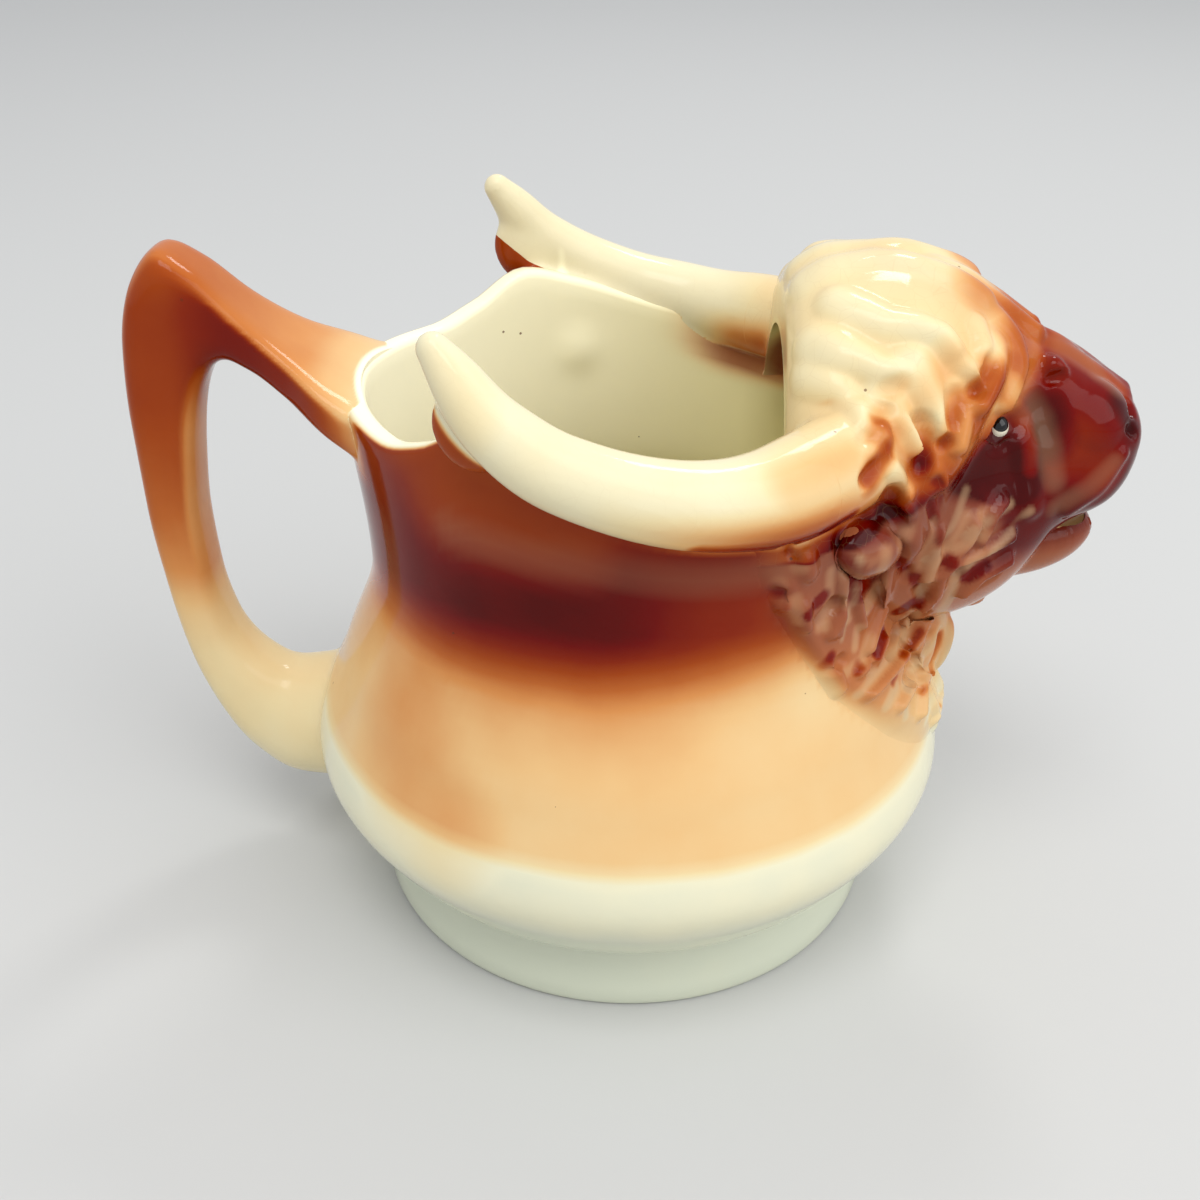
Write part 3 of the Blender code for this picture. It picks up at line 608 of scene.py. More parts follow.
# %% [markdown]
# ## Passage
# The jug pours through the head. The hollow runs from the vessel over a rising floor to the open
# mouth, one wall's thickness inside the skull, and widens where it opens into the vessel.

# %% Passage
HEAD_WALL = 0.0044
PASSAGE_FLARE = 0.0055
# Share from the head's back to the nose, and the floor as a share of the skull's height
SPOUT_FLOOR = ((-0.15, 0.51), (0.27, 0.535), (0.43, 0.548), (0.55, 0.562), (0.67, 0.585),
               (0.79, 0.611), (0.90, 0.645), (0.95, 0.69))


def passage_rings(count=56, steps=40):
    """The hollow of the head, from the vessel to the open mouth."""
    rings = []
    for step in range(steps + 1):
        along = between(SPOUT_FLOOR[0][0], SPOUT_FLOOR[-1][0], step / steps)
        middle, half_height, half_width = head_section(max(along, 0.0))
        inner_width = half_width - HEAD_WALL + PASSAGE_FLARE * ease(0.35, 0.0, along)
        top = middle + half_height - HEAD_WALL
        bottom = SKULL * along_curve(SPOUT_FLOOR, along)
        ring = []
        for i in range(count):
            angle = 2 * pi * i / count
            ring.append(Vector((between(HEAD_BACK, NOSE, along), inner_width * sin(angle),
                                (top + bottom) / 2 + (top - bottom) / 2 * cos(angle))))
        rings.append(ring)
    return rings


passage = sweep("passage", passage_rings())
print("passage:", len(passage.data.polygons), "faces")

# %% [markdown]
# ## Lip and ears
# The lower lip is a scoop, half of an egg, that hangs under the open mouth. The ears are small
# flat lobes below the roots of the horns. Both start as a ball primitive.

# %% Balls and blocks


def egg(name, centre, radii, grow=0.0, turn=(0.0, 0.0, 0.0), segments=48):
    bpy.ops.object.select_all(action="DESELECT")
    bpy.ops.mesh.primitive_uv_sphere_add(segments=segments, ring_count=segments // 2, radius=1.0)
    piece = bpy.context.object
    piece.name = piece.data.name = name
    piece.scale = [radius + grow for radius in radii]
    piece.rotation_euler = turn
    piece.location = centre
    bpy.ops.object.transform_apply(location=True, rotation=True, scale=True)
    return piece


def block(name, low, high):
    bpy.ops.object.select_all(action="DESELECT")
    bpy.ops.mesh.primitive_cube_add(size=1.0)
    piece = bpy.context.object
    piece.name = piece.data.name = name
    piece.scale = Vector(high) - Vector(low)
    piece.location = (Vector(high) + Vector(low)) / 2
    bpy.ops.object.transform_apply(location=True, rotation=True, scale=True)
    return piece


# %% Lip
LIP_CENTRE = Vector((0.0618, 0.0, 0.0776))
LIP_RADII = (0.0205, 0.0098, 0.0092)
LIP_WALL = 0.0027
lip_form = egg("lip_form", LIP_CENTRE, LIP_RADII)
LIP_BACK, LIP_FRONT, LIP_SIDE = 0.03, 0.11, 0.02
above_lip = block("above_lip", (LIP_BACK, -LIP_SIDE, LIP_CENTRE.z),
                  (LIP_FRONT, LIP_SIDE, LIP_CENTRE.z + LIP_SIDE))
carved(lip_form, above_lip)
lip_hollow = egg("lip_hollow", LIP_CENTRE, LIP_RADII, -LIP_WALL)
print("lip:", len(lip_form.data.polygons), "faces")

# %% Ears
EAR_CENTRE = Vector((0.0380, 0.0309, 0.0886))
EAR_RADII = (0.0056, 0.0029, 0.0033)
EAR_DROOP = radians(20)
EAR_TURN = pi / 5


def ear_ball(name, side, grow=0.0):
    place = Vector((EAR_CENTRE.x, side * EAR_CENTRE.y, EAR_CENTRE.z))
    return egg(name, place, EAR_RADII, grow, turn=(0.0, EAR_DROOP, -side * EAR_TURN))


ear_forms = {side: ear_ball("ear_form", side) for side in (1, -1)}
print("ears:", len(ear_forms), "on the clay")

# %% [markdown]
# ## Beard and webs
# Under the chin the wool is fuller than on the sides, so a plain bulge is laid against the
# throat first, and the locks are raised on it later. Below each horn's tip a small web of clay
# ties the horn to the rim, so that the free tip doesn't break off.

# %% Beard bulge and webs
BEARD_CENTRE, BEARD_RADII = (0.0420, 0.0, 0.0570), (0.0172, 0.0175, 0.0165)
BEARD_LEAN = radians(20)
WEB_BACK, WEB_OUT, WEB_UP = -0.0225, 0.0425, 0.1125
WEB_RADII = (0.0060, 0.0027, 0.0075)
WEB_LEAN = radians(-25)
web_forms = [egg("web_form", (WEB_BACK, side * WEB_OUT, WEB_UP), WEB_RADII,
                 turn=(0, WEB_LEAN, 0)) for side in (1, -1)]
beard_form = egg("beard_form", BEARD_CENTRE, BEARD_RADII, turn=(0, BEARD_LEAN, 0))
print("beard bulge:", len(beard_form.data.polygons), "faces")

# %% [markdown]
# ## Fuse the clay
# The forms are joined, and a voxel remesh makes one skin of them. The plain vessel goes in a hair
# thinner than the real one, so that later it is only the luted members that stand out of it.
# Then the skin is smoothed where two forms meet, as slip fills such a corner.

# %% Forms to fuse
THINNER = 0.00015
thin_vessel = sweep("thin_vessel", outside(THINNER, -THINNER) + over_and_down(THINNER))
forms = [thin_vessel, handle_form, head_form, lip_form, beard_form,
         *horn_forms.values(), *ear_forms.values(), cap_form, *web_forms]
trees = [surface(form) for form in forms]
handle_tree = trees[forms.index(handle_form)]
horn_trees = [trees[forms.index(form)] for form in horn_forms.values()]
print("forms to fuse:", len(forms))

# %% Where the joints are
JOINT_REACH = 0.0050
# Weights below this are left out of a vertex group
FAINTEST = 0.001


def joint_weights(points):
    """1 where two forms meet, 0 away from any joint."""
    weights = np.zeros(len(points))
    for i, point in enumerate(points):
        near = sorted(hit[3] for hit in (tree.find_nearest(point, JOINT_REACH) for tree in trees)
                      if hit[0] is not None)
        if len(near) > 1:
            weights[i] = 1 - near[1] / JOINT_REACH
    return ease(0.0, 0.8, weights)


def set_weights(piece, name, weights):
    group = piece.vertex_groups.new(name=name)
    for i in np.nonzero(weights > FAINTEST)[0]:
        group.add([int(i)], float(weights[i]), "REPLACE")
    return name


# %% Fuse
VOXEL = 0.00050
SKIN_PASSES = 4
JOINT_PASSES = 40
only(thin_vessel)
for form in forms:
    form.select_set(True)
bpy.ops.object.join()
clay = bpy.context.object
clay.name = clay.data.name = "clay"
finish_with(clay, "REMESH", mode="VOXEL", voxel_size=VOXEL, adaptivity=0.0)
finish_with(clay, "SMOOTH", factor=0.5, iterations=SKIN_PASSES)
joints = set_weights(clay, "joints", joint_weights([Vector(row) for row in corners(clay)]))
finish_with(clay, "SMOOTH", factor=0.5, iterations=JOINT_PASSES, vertex_group=joints)
print("clay skin:", len(clay.data.vertices), "vertices")

# %% [markdown]
# ## Locks of wool
# The wool is modelled in the clay as soft ridges that end in blunt tips, with deep pits between
# them where the dark glaze gathers. Each is a stroke: a line of pixels of the photograph with a
# width and a height in millimetres. A stroke is dropped on the clay where the camera sees it,
# and mirrored to the other side, because the mould was near enough symmetric.

# %% Locks of the cap
# Width at the root, width at the tip, height, line
LOCKS = (
    (4.1, 2.8, 2.3, ((835, 300), (862, 310), (887, 323), (919, 327), (940, 335), (951, 350))),
    (4.7, 2.9, 2.4, ((812, 345), (854, 358), (877, 369), (899, 375))),
    (3.9, 2.5, 1.8, ((803, 377), (841, 390), (858, 409), (866, 426))),
    (3.9, 2.1, 2.6, ((882, 386), (900, 419), (915, 447))),
    (4.4, 2.4, 2.4, ((912, 365), (929, 394), (944, 430))),
    (3.3, 2.0, 2.2, ((942, 339), (963, 365), (976, 377))),
    (2.8, 1.9, 1.8, ((978, 323), (984, 344), (980, 366))),
    (3.6, 2.1, 2.2, ((999, 345), (995, 377), (978, 407))),
    (3.9, 2.4, 2.3, ((993, 308), (1014, 339), (1018, 365), (1001, 402))),
    (5.1, 3.7, 1.7, ((803, 280), (835, 264), (875, 257), (919, 264), (951, 276), (982, 297))),
    (4.1, 2.8, 1.8, ((940, 262), (972, 268), (999, 293), (1026, 322))),
    (2.6, 1.6, 2.0, ((880, 455), (892, 470), (908, 490))),
    (2.3, 1.5, 1.3, ((930, 462), (942, 484))),
    (3.0, 2.0, 1.7, ((868, 405), (880, 430), (886, 455))),
    (3.3, 2.2, 1.7, ((955, 395), (962, 420), (958, 445))),
)

# %% Ridges of the mane and cheek
# Width at the start, width at the end, height, line
RIDGES = (
    (1.8, 1.5, 2.0, ((999, 527), (973, 541), (944, 553), (934, 564), (930, 580), (918, 592))),
    (1.5, 1.4, 1.9, ((916, 612), (902, 640), (888, 659), (871, 679), (857, 695))),
    (1.8, 1.5, 2.0, ((997, 549), (970, 564), (954, 580), (942, 608), (944, 618))),
    (1.8, 1.5, 1.9, ((944, 618), (934, 643), (918, 663), (906, 687), (906, 715))),
    (1.9, 1.5, 1.7, ((886, 553), (883, 568), (879, 588), (867, 604), (859, 628), (855, 647))),
    (1.5, 1.2, 1.5, ((831, 572), (829, 598), (825, 628))),
    (1.4, 1.2, 1.5, ((843, 572), (845, 600), (849, 620))),
    (1.8, 1.4, 1.7, ((966, 517), (958, 533), (944, 549))),
    (2.0, 1.8, 1.5, ((930, 525), (928, 549), (922, 566))),
    (1.5, 1.2, 1.7, ((997, 495), (983, 509), (970, 533))),
    (1.9, 1.5, 1.5, ((905, 500), (908, 530), (900, 548))),
    (1.4, 1.2, 0.7, ((859, 558), (871, 563), (885, 556), (890, 549))),
    (2.0, 1.2, 1.3, ((778, 585), (778, 606))),
    (2.0, 1.4, 1.5, ((827, 608), (819, 628))),
    (2.1, 1.8, 1.5, ((822, 668), (833, 690))),
    (1.9, 1.4, 1.7, ((896, 687), (886, 707))),
    (2.0, 1.4, 1.5, ((930, 700), (926, 722))),
    (2.5, 2.1, 1.3, ((799, 550), (800, 566))),
    (2.0, 1.8, 1.7, ((946, 625), (950, 650), (940, 688))),
    (1.8, 1.4, 1.3, ((795, 600), (797, 622))),
    (1.9, 1.4, 1.3, ((870, 640), (862, 660), (846, 672))),
)

# %% Pits where dark glaze gathers
# Width at the start, width at the end, depth, line
PITS = (
    (2.4, 2.0, 0.8, ((887, 392), (902, 381))),
    (2.6, 1.8, 1.2, ((984, 365), (972, 392))),
    (2.8, 2.0, 1.3, ((955, 398), (944, 440))),
    (2.6, 2.2, 1.3, ((918, 425), (922, 462))),
    (2.0, 1.6, 0.8, ((880, 410), (862, 440))),
    (2.2, 1.8, 1.3, ((886, 452), (866, 480))),
    (2.0, 1.7, 1.7, ((776, 588), (778, 592))),
    (1.7, 1.3, 1.7, ((825, 596), (809, 616))),
    (1.9, 1.6, 0.6, ((833, 537), (839, 553), (847, 562), (859, 566))),
    (2.0, 1.7, 0.5, ((839, 534), (863, 541), (886, 535))),
    (2.2, 2.0, 1.1, ((851, 580), (872, 580), (857, 596))),
    (2.4, 2.0, 0.9, ((888, 491), (890, 496))),
    (2.2, 1.9, 1.3, ((885, 509), (906, 519))),
    (1.5, 1.2, 1.5, ((932, 503), (928, 517))),
    (1.8, 1.6, 1.9, ((948, 560), (951, 563))),
    (1.8, 1.6, 1.9, ((966, 576), (985, 566))),
    (2.0, 1.7, 1.9, ((916, 602), (898, 612))),
    (1.7, 1.5, 1.9, ((883, 632), (877, 654))),
    (1.6, 1.3, 1.3, ((831, 657), (821, 667))),
    (1.6, 1.3, 1.2, ((859, 666), (857, 671))),
    (1.5, 1.2, 1.4, ((904, 653), (893, 683))),
    (1.6, 1.3, 1.4, ((902, 561), (903, 567))),
    (1.5, 1.2, 1.3, ((915, 578), (917, 584))),
    (1.5, 1.1, 0.9, ((786, 547), (788, 550))),
    (1.5, 1.2, 1.2, ((937, 480), (940, 484))),
    (1.1, 1.0, 0.7, ((940, 497), (938, 541))),
    (1.3, 1.1, 1.2, ((920, 632), (912, 645))),
    (1.3, 1.1, 1.2, ((932, 672), (924, 690))),
)

# %% Face
# Width at the start, width at the end, height (hollows are below 0), line: the brow and its
# crease, the eye's socket and two lids, the cheek's hollow and bone, the muzzle, the nostril and
# the fold under it, the nose's bridge and the edge of the upper lip
FACE = (
    (2.6, 2.2, 1.8, ((1053, 366), (1058, 371))),
    (1.4, 1.2, -1.2, ((1050, 380), (1060, 378))),
    (4.0, 3.6, -1.6, ((1000, 432), (1012, 424))),
    (1.3, 1.0, 1.0, ((984, 434), (991, 421), (1003, 409), (1012, 404))),
    (1.1, 0.9, 0.6, ((988, 442), (999, 447), (1009, 438))),
    (4.5, 4.0, -1.4, ((1045, 410), (1050, 425))),
    (3.4, 3.0, 0.9, ((1022, 440), (1028, 470), (1024, 500))),
    (5.5, 5.0, 1.1, ((1100, 420), (1112, 400))),
    (1.5, 1.2, -2.0, ((1128, 402), (1131, 412))),
    (1.3, 1.0, -1.2, ((1131, 430), (1134, 434))),
    (3.0, 2.6, 0.8, ((1040, 332), (1080, 352), (1120, 384))),
    (2.2, 1.8, 0.9, ((1060, 500), (1095, 480), (1122, 455))),
)

# %% Locks in front
# The camera doesn't see these, so their lines are given round the jug: width at the start, width
# at the end, height (grooves are below 0), line as degrees from the nose and mm up
FRONT = (
    (2.2, 1.4, 1.4, ((5, 66), (7, 56), (6, 46), (4, 38))),
    (2.0, 1.3, 1.3, ((14, 64), (16, 54), (15, 45), (13, 39))),
    (1.7, 1.2, -1.2, ((0, 60), (0, 50), (0, 41))),
    (1.5, 1.1, -1.1, ((10, 58), (11, 49), (10, 42))),
    (1.5, 1.1, -1.0, ((20, 60), (21, 52))),
)

# %% Lay the strokes on the clay
clay_tree = surface(clay)
# Any distance well outside the jug
OUTSIDE = 0.2


def facing(degrees, height):
    """The clay's surface seen from straight outside at an angle and a height in mm."""
    out = Vector((cos(radians(degrees)), sin(radians(degrees)), 0.0))
    return clay_tree.ray_cast(out * OUTSIDE + Vector((0, 0, height / 1000)), -out)[0]


def laid(strokes, finder, sign=1):
    """Strokes in metres, with their lines dropped on the clay, on both sides of the jug."""
    result = []
    for wide, narrow, height, line in strokes:
        places = [finder(*pixel) for pixel in line]
        places = [place for place in places if place is not None]
        if len(places) < 2:
            continue
        for side in (1, -1):
            points = np.array([(p.x, p.y * side, p.z) for p in places])
            result.append((wide / 1000, narrow / 1000, sign * height / 1000, points))
    return result


def from_camera(x, y):
    return seen(clay_tree, x, y)


locks = laid(LOCKS, from_camera)
ridges = laid(RIDGES, from_camera)
pits = laid(PITS, from_camera, -1)
face = laid(FACE, from_camera)
front = laid(FRONT, facing)
print("strokes on the clay:", len(locks + ridges + pits + face + front))

# %% Height of the strokes
# Above 1 a stroke's flanks run out more gently
FLANK = 1.3
FAR_AWAY = 9.0


def stroke_height(points, stroke, rising=0.0):
    """Height of one stroke at all points; it may rise towards its tip."""
    wide, narrow, height, line = stroke
    result = np.zeros(len(points))
    reach = max(wide, narrow)
    low, high = line.min(0) - reach, line.max(0) + reach
    near = np.nonzero(((points > low) & (points < high)).all(1))[0]
    if not len(near):
        return result
    spots = points[near]
    lengths = np.linalg.norm(np.diff(line, axis=0), axis=1)
    starts = np.concatenate(([0.0], np.cumsum(lengths))) / lengths.sum()
    best = np.full(len(near), FAR_AWAY)
    share = np.zeros(len(near))
    for i, (a, b) in enumerate(zip(line, line[1:])):
        way = b - a
        t = np.clip(((spots - a) @ way) / (way @ way), 0.0, 1.0)
        away = np.linalg.norm(spots - (a + t[:, None] * way), axis=1)
        closer = away < best
        best[closer] = away[closer]
        share[closer] = between(starts[i], starts[i + 1], t[closer])
    width = between(wide, narrow, share)
    profile = np.clip(1 - (best / width) ** 2, 0.0, 1.0) ** FLANK
    result[near] = height * profile * between(1 - rising, 1.0, share)
    return result


def blended(points, strokes, rising=0.0):
    """Soft maximum of many strokes, so that ridges that meet flow together."""
    total = np.zeros(len(points))
    for stroke in strokes:
        total += np.abs(stroke_height(points, stroke, rising)) ** 3
    return total ** (1 / 3)


# %% [markdown]
# ## Raise the wool
# The strokes become weights, as if painted on the skin, and a Displace modifier lifts or sinks
# the clay along its normals by them. A light smoothing melts it as glaze does.

# %% Where the mane lies
# Lower edge of the mane: degrees from the nose, height
MANE_EDGE = ((0.0, 0.0360), (20.0, 0.0410), (42.0, 0.0580), (55.0, 0.0750), (66.0, 0.0900))
MANE_PAD = 0.0024
# Where the pad's soft edges start and where it is full: above its lower edge in metres, round
# the jug in degrees, and forward
PAD_LOW, PAD_TURN, PAD_FORWARD = (-0.0010, 0.0055), (66.0, 54.0), (0.0, 0.01)
# The pad thins out under the horns
PAD_TOP = (0.096, 0.088)


def read_curve(rows, values):
    """A fair curve read at many places at once."""
    table = np.linspace(rows[0][0], rows[-1][0], 200)
    heights = [along_curve(rows, float(at)) for at in table]
    return np.interp(values, table, heights)


def mane_pad(points):
    """How far a place is inside the mane: 1 in it, 0 outside, with a soft edge."""
    x, y, z = points.T
    turn = np.degrees(np.arctan2(np.abs(y), x))
    edge = read_curve(MANE_EDGE, turn)
    return ease(*PAD_LOW, z - edge) * ease(*PAD_TURN, turn) * ease(*PAD_FORWARD, x)


# %% Raise and sink
# A lock rises from its root to its tip by this share of its height
LOCK_RISE = 0.6
MELT_PASSES = 4
points = corners(clay)
raised = MANE_PAD * mane_pad(points) * ease(*PAD_TOP, points[:, 2])
raised += blended(points, locks, LOCK_RISE)
raised += blended(points, ridges + [s for s in front if s[2] > 0])
raised += sum(stroke_height(points, stroke) for stroke in face if stroke[2] > 0)
sunk = blended(points, pits + [s for s in front if s[2] < 0])
sunk += sum(-stroke_height(points, stroke) for stroke in face if stroke[2] < 0)
for name, amounts, sign in (("raised", raised, 1), ("sunk", sunk, -1)):
    most = float(amounts.max())
    group = set_weights(clay, name, amounts / most)
    finish_with(clay, "DISPLACE", strength=sign * most, mid_level=0.0, vertex_group=group)
finish_with(clay, "SMOOTH", factor=0.5, iterations=MELT_PASSES)
print("wool raised up to", round(1000 * float(raised.max()), 2), "mm")

# %% The same lines on the raised clay, for the glaze to follow
clay_tree = surface(clay)
shown_ridges = laid(LOCKS + RIDGES, from_camera)
shown_pits = laid(PITS, from_camera) + [s for s in laid(FRONT, facing) if s[2] < 0]
print("lines for the glaze:", len(shown_ridges + shown_pits))

# %% [markdown]
# ## Hollow it out
# What lies inside the vessel's outside is the vessel's own, so it is cut away. The head is then
# opened from the vessel to the mouth, and the lip is scooped out. The room inside the vessel is
# cleared as well: everywhere below the horns, and up to the top only behind the head.

# %% Hollow
INNER_TOP = 0.0945
OVER_TOP = 0.1350
OVER_FRONT = -0.0150
# The room reaches this far into the wall, so that no skin of clay is left on it
ROOM_OVERLAP = 0.0005


def inner_rings(low, high, front):
    """The room inside the vessel between two heights, no further forward than front."""
    rings = []
    for height in spaced(low, high, 12):
        level = min(height, RIM)
        ring = []
        for i in range(VESSEL_COUNT):
            angle = 2 * pi * i / VESSEL_COUNT
            x = (length_radius(level) - WALL + ROOM_OVERLAP) * cos(angle)
            y = (width_radius(level) - WALL + ROOM_OVERLAP) * sin(angle)
            ring.append(Vector((min(x, front), y, height)))
        rings.append(ring)
    return rings


carved(lip_hollow, above_lip)
inner_room = sweep("inner_room", inner_rings(SHOULDER, INNER_TOP, RIM))
over_room = sweep("over_room", inner_rings(SHOULDER, OVER_TOP, OVER_FRONT))
inner_trees = [surface(passage), surface(inner_room), surface(over_room)]
for cutter in (vessel, passage, inner_room, over_room, lip_hollow):
    carved(clay, cutter)
print("hollow clay:", len(clay.data.polygons), "faces")

# %% [markdown]
# ## Divide the clay into its pieces
# The fused skin is cut along hidden or natural lines: across the roots of the horns, round the
# ears, the lip and the cap of wool, and down the sides of the beard. Every piece is a closed
# body, and neighbours share their cut, so the glaze runs on without a step.

# %% Dividing helpers
JUG_SIDE = 0.08


def keep_islands(piece, least=400):
    """Drop crumbs that a cut may leave, each with fewer faces than least."""
    shape = bmesh.new()
    shape.from_mesh(piece.data)
    left = set(shape.faces)
    crumbs = []
    while left:
        seed = left.pop()
        island, front_line = [seed], [seed]
        while front_line:
            face = front_line.pop()
            for edge in face.edges:
                for other in edge.link_faces:
                    if other in left:
                        left.discard(other)
                        island.append(other)
                        front_line.append(other)
        if len(island) < least:
            crumbs += island
    bmesh.ops.delete(shape, geom=crumbs, context="FACES")
    shape.to_mesh(piece.data)
    shape.free()
    return piece


def taken(whole, region, name):
    """Take the part of a form inside a region out of it, as a piece of its own."""
    part = copied(whole, name)
    carved(part, region, "INTERSECT")
    carved(whole, region)
    return part


def prism(name, outline):
    """A room with the given outline in the side view, right across the jug."""
    return sweep(name, [[Vector((x, across, z)) for x, z in outline]
                        for across in (-JUG_SIDE, JUG_SIDE)])


# %% Part the handle, the horns and the ears
# Room around a piece where it is parted from the clay
HORN_ROOM = 0.0020
EAR_ROOM = LIP_ROOM = 0.0008
# Each horn ends under the wool, at this share of its line
HORN_END = 0.80
# Lowest and highest corner of the room that holds the handle and its roots on the wall
HANDLE_ROOM = (-0.12, -0.04, 0.0), (-0.035, 0.04, 0.14)
handle_room = block("handle_room", *HANDLE_ROOM)
handle = taken(clay, handle_room, "handle")
horns, ears = {}, {}
for side, word in ((1, "left"), (-1, "right")):
    room = sweep("horn_room", horn_rings(side, HORN_ROOM, HORN_END))
    horns[side] = taken(clay, room, word + "_horn_clay")
    discard(room)
    room = ear_ball("ear_room", side, EAR_ROOM)
    ears[side] = taken(clay, room, word + "_ear_clay")
    discard(room)
print("parted:", 1 + len(horns) + len(ears), "pieces")

# %% Part the lip
# The rooms for the lip and the wool stop this deep in the skull
SKULL_DEPTH = 0.0010
skull = sweep("skull", head_rings(-SKULL_DEPTH))
chin_room = egg("chin_room", LIP_CENTRE, LIP_RADII, LIP_ROOM)
carved(chin_room, skull)
# The lip is parted only in front of this room; what lies in the room stays with the head
CHIN_ROOM = (0.0, -0.03, 0.03), (0.0640, 0.03, 0.12)
chin_back = block("chin_back", *CHIN_ROOM)
carved(chin_room, chin_back)
lip = taken(clay, chin_room, "lip")
print("lip:", len(lip.data.polygons), "faces")

# %% Part the manes, the beard and the cap
BEARD_HALF_ANGLE = radians(20)
BEARD_HEIGHTS = (0.02, 0.10)
MANE_CEILING = 0.12
# Past the nose, from the jug's middle
FRONT_REACH = 0.1
# The front and lower edge of the cap of wool, seen from the side: (forward, up)
CAP_LINE = ((0.0698, 0.1160), (0.0690, 0.1125), (0.0665, 0.1080), (0.0630, 0.1045),
            (0.0590, 0.1015), (0.0540, 0.0980), (0.0460, 0.0940), (0.0360, 0.0900), (0.0, 0.0880))
# The same view of the room for mane and beard, up to where the cap's edge takes over
WOOL_LINE = ((0.0, 0.02), (0.078, 0.02), (0.078, 0.064), (0.0690, 0.0735), (0.0630, 0.086))
FIRST_SHARED = 4
# What closes the cap's room above
CAP_CEILING = ((0.0, 0.14), (0.0700, 0.14))
wool_room = prism("wool_room", WOOL_LINE + CAP_LINE[FIRST_SHARED:])
carved(wool_room, skull)
wool = taken(clay, wool_room, "wool")
beard_side = FRONT_REACH * sin(BEARD_HALF_ANGLE)
beard_room = sweep("beard_room", [
    [Vector((0, 0, z)), Vector((FRONT_REACH, -beard_side, z)),
     Vector((FRONT_REACH, beard_side, z))] for z in BEARD_HEIGHTS])
beard = taken(wool, beard_room, "beard_clay")
left_room = block("left_room", (0.0, 0.0, 0.0), (FRONT_REACH, FRONT_REACH, MANE_CEILING))
manes = {1: taken(wool, left_room, "left_mane_clay"), -1: wool}
cap_room = prism("cap_room", CAP_CEILING + CAP_LINE)
carved(cap_room, skull)
forelock = taken(clay, cap_room, "forelock_clay")
discard(handle_room, skull, chin_room, chin_back, wool_room, beard_room, left_room, cap_room,
        above_lip, lip_hollow, passage, inner_room, over_room)

# %% Name the pieces
# What is left of the clay is the head
pieces = {
    "vessel_glazed": vessel, "foot_glazed": foot, "handle_glazed": handle,
    "left_horn_glazed": horns[1], "right_horn_glazed": horns[-1], "head_glazed": clay,
    "forelock_glazed": forelock, "left_mane_glazed": manes[1],
    "right_mane_glazed": manes[-1], "beard_glazed": beard, "lip_glazed": lip,
    "left_ear_glazed": ears[1], "right_ear_glazed": ears[-1],
}
for name, piece in pieces.items():
    if name not in ("vessel_glazed", "foot_glazed"):
        keep_islands(piece)
    piece.name = piece.data.name = name
    print(name, len(piece.data.polygons), "faces")

# %% [markdown]
# ## Eyes
# A small ball of glaze, cream white with a black pupil, sunk under the edge of the wool.

# %% Eyes
EYE_RADII = (0.0019, 0.0018, 0.0021)
EYE_SINK = Vector((-0.0002, 0.0014, -0.0016))
PUPIL_SHIFT = Vector((0.0004, EYE_RADII[1] * 0.8, 0.0017))
for side, word in ((1, "left"), (-1, "right")):
    low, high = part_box(word + "_eye")
    place = (low + high) / 2 + Vector((EYE_SINK.x, -side * EYE_SINK.y, EYE_SINK.z))
    pieces[word + "_eye_glazed"] = egg(word + "_eye_glazed", place, EYE_RADII)
    if side == 1:
        pupil_place = place + PUPIL_SHIFT
print("eyes:", round(2000 * EYE_RADII[2], 1), "mm high")

# %% [markdown]
# ## A lump inside
# A bit of slip dried on the mould and left a low round lump on the inner wall. It is painted as
# a weight round the place where the photograph shows it, and a Displace modifier lifts it.

# %% A lump inside
LUMP_REACH = 0.0065
LUMP_HEIGHT = 0.0012
LUMP_PIXEL = (578, 350)
lump = seen(surface(vessel), *LUMP_PIXEL)
away = np.linalg.norm(corners(vessel) - np.array(lump), axis=1)
set_weights(vessel, "lump", ease(LUMP_REACH, 0.0, away))
finish_with(vessel, "DISPLACE", strength=LUMP_HEIGHT, mid_level=0.0, vertex_group="lump")
print("lump:", 1000 * LUMP_HEIGHT, "mm high")

# %% [markdown]
# ## Smooth shading
# Glaze rounds every surface, so faces are shaded as one curve, except across the few edges that
# turn sharply, such as the cuts between the pieces. The weights have done their work and go.

# %% Finish the surfaces
SHARP_EDGE = radians(40)
for name, piece in pieces.items():
    only(piece)
    piece.vertex_groups.clear()
    bpy.ops.object.shade_smooth_by_angle(angle=SHARP_EDGE)
print("shaded:", len(pieces), "pieces")

# %% [markdown]
# ## Where the glaze changes colour
# Every colour of the jug lies on one line, from the pale celadon of the foot through cream, tan
# and orange brown to the near-black red in the pits, because the brown glaze was sprayed over
# the pale one in a thinner or thicker coat. So one number for each vertex, the thickness of that
# coat, paints the whole jug, and it is kept as an attribute named coat. In a few places painted
# shade and a painted reflection are laid into that number as well.

# %% Coat thickness
# Height, or distance along the jug, and thickness
# The wall's coat thins again under the rim, partly as a painted reflection
RED_BY_HEIGHT = ((0.0, 0.0), (0.022, 0.01), (0.032, 0.07), (0.039, 0.06), (0.0425, 0.27),
                 (0.050, 0.28), (0.058, 0.32), (0.064, 0.38), (0.071, 0.59), (0.079, 0.82),
                 (0.088, 0.81), (0.096, 0.74), (0.104, 0.64))
MANE_BY_HEIGHT = ((0.036, 0.20), (0.044, 0.24), (0.052, 0.33), (0.060, 0.47), (0.070, 0.60),
                  (0.080, 0.70), (0.090, 0.74))
GRIP_BY_HEIGHT = ((0.014, 0.14), (0.034, 0.17), (0.044, 0.20), (0.055, 0.26), (0.066, 0.42),
                  (0.090, 0.54), (0.115, 0.58), (0.127, 0.50))
ARM_BY_LENGTH = ((-0.080, 0.53), (-0.068, 0.49), (-0.060, 0.44), (-0.052, 0.37), (-0.046, 0.27),
                 (-0.038, 0.16))
print("coat by height:", len(RED_BY_HEIGHT), "places on the wall")
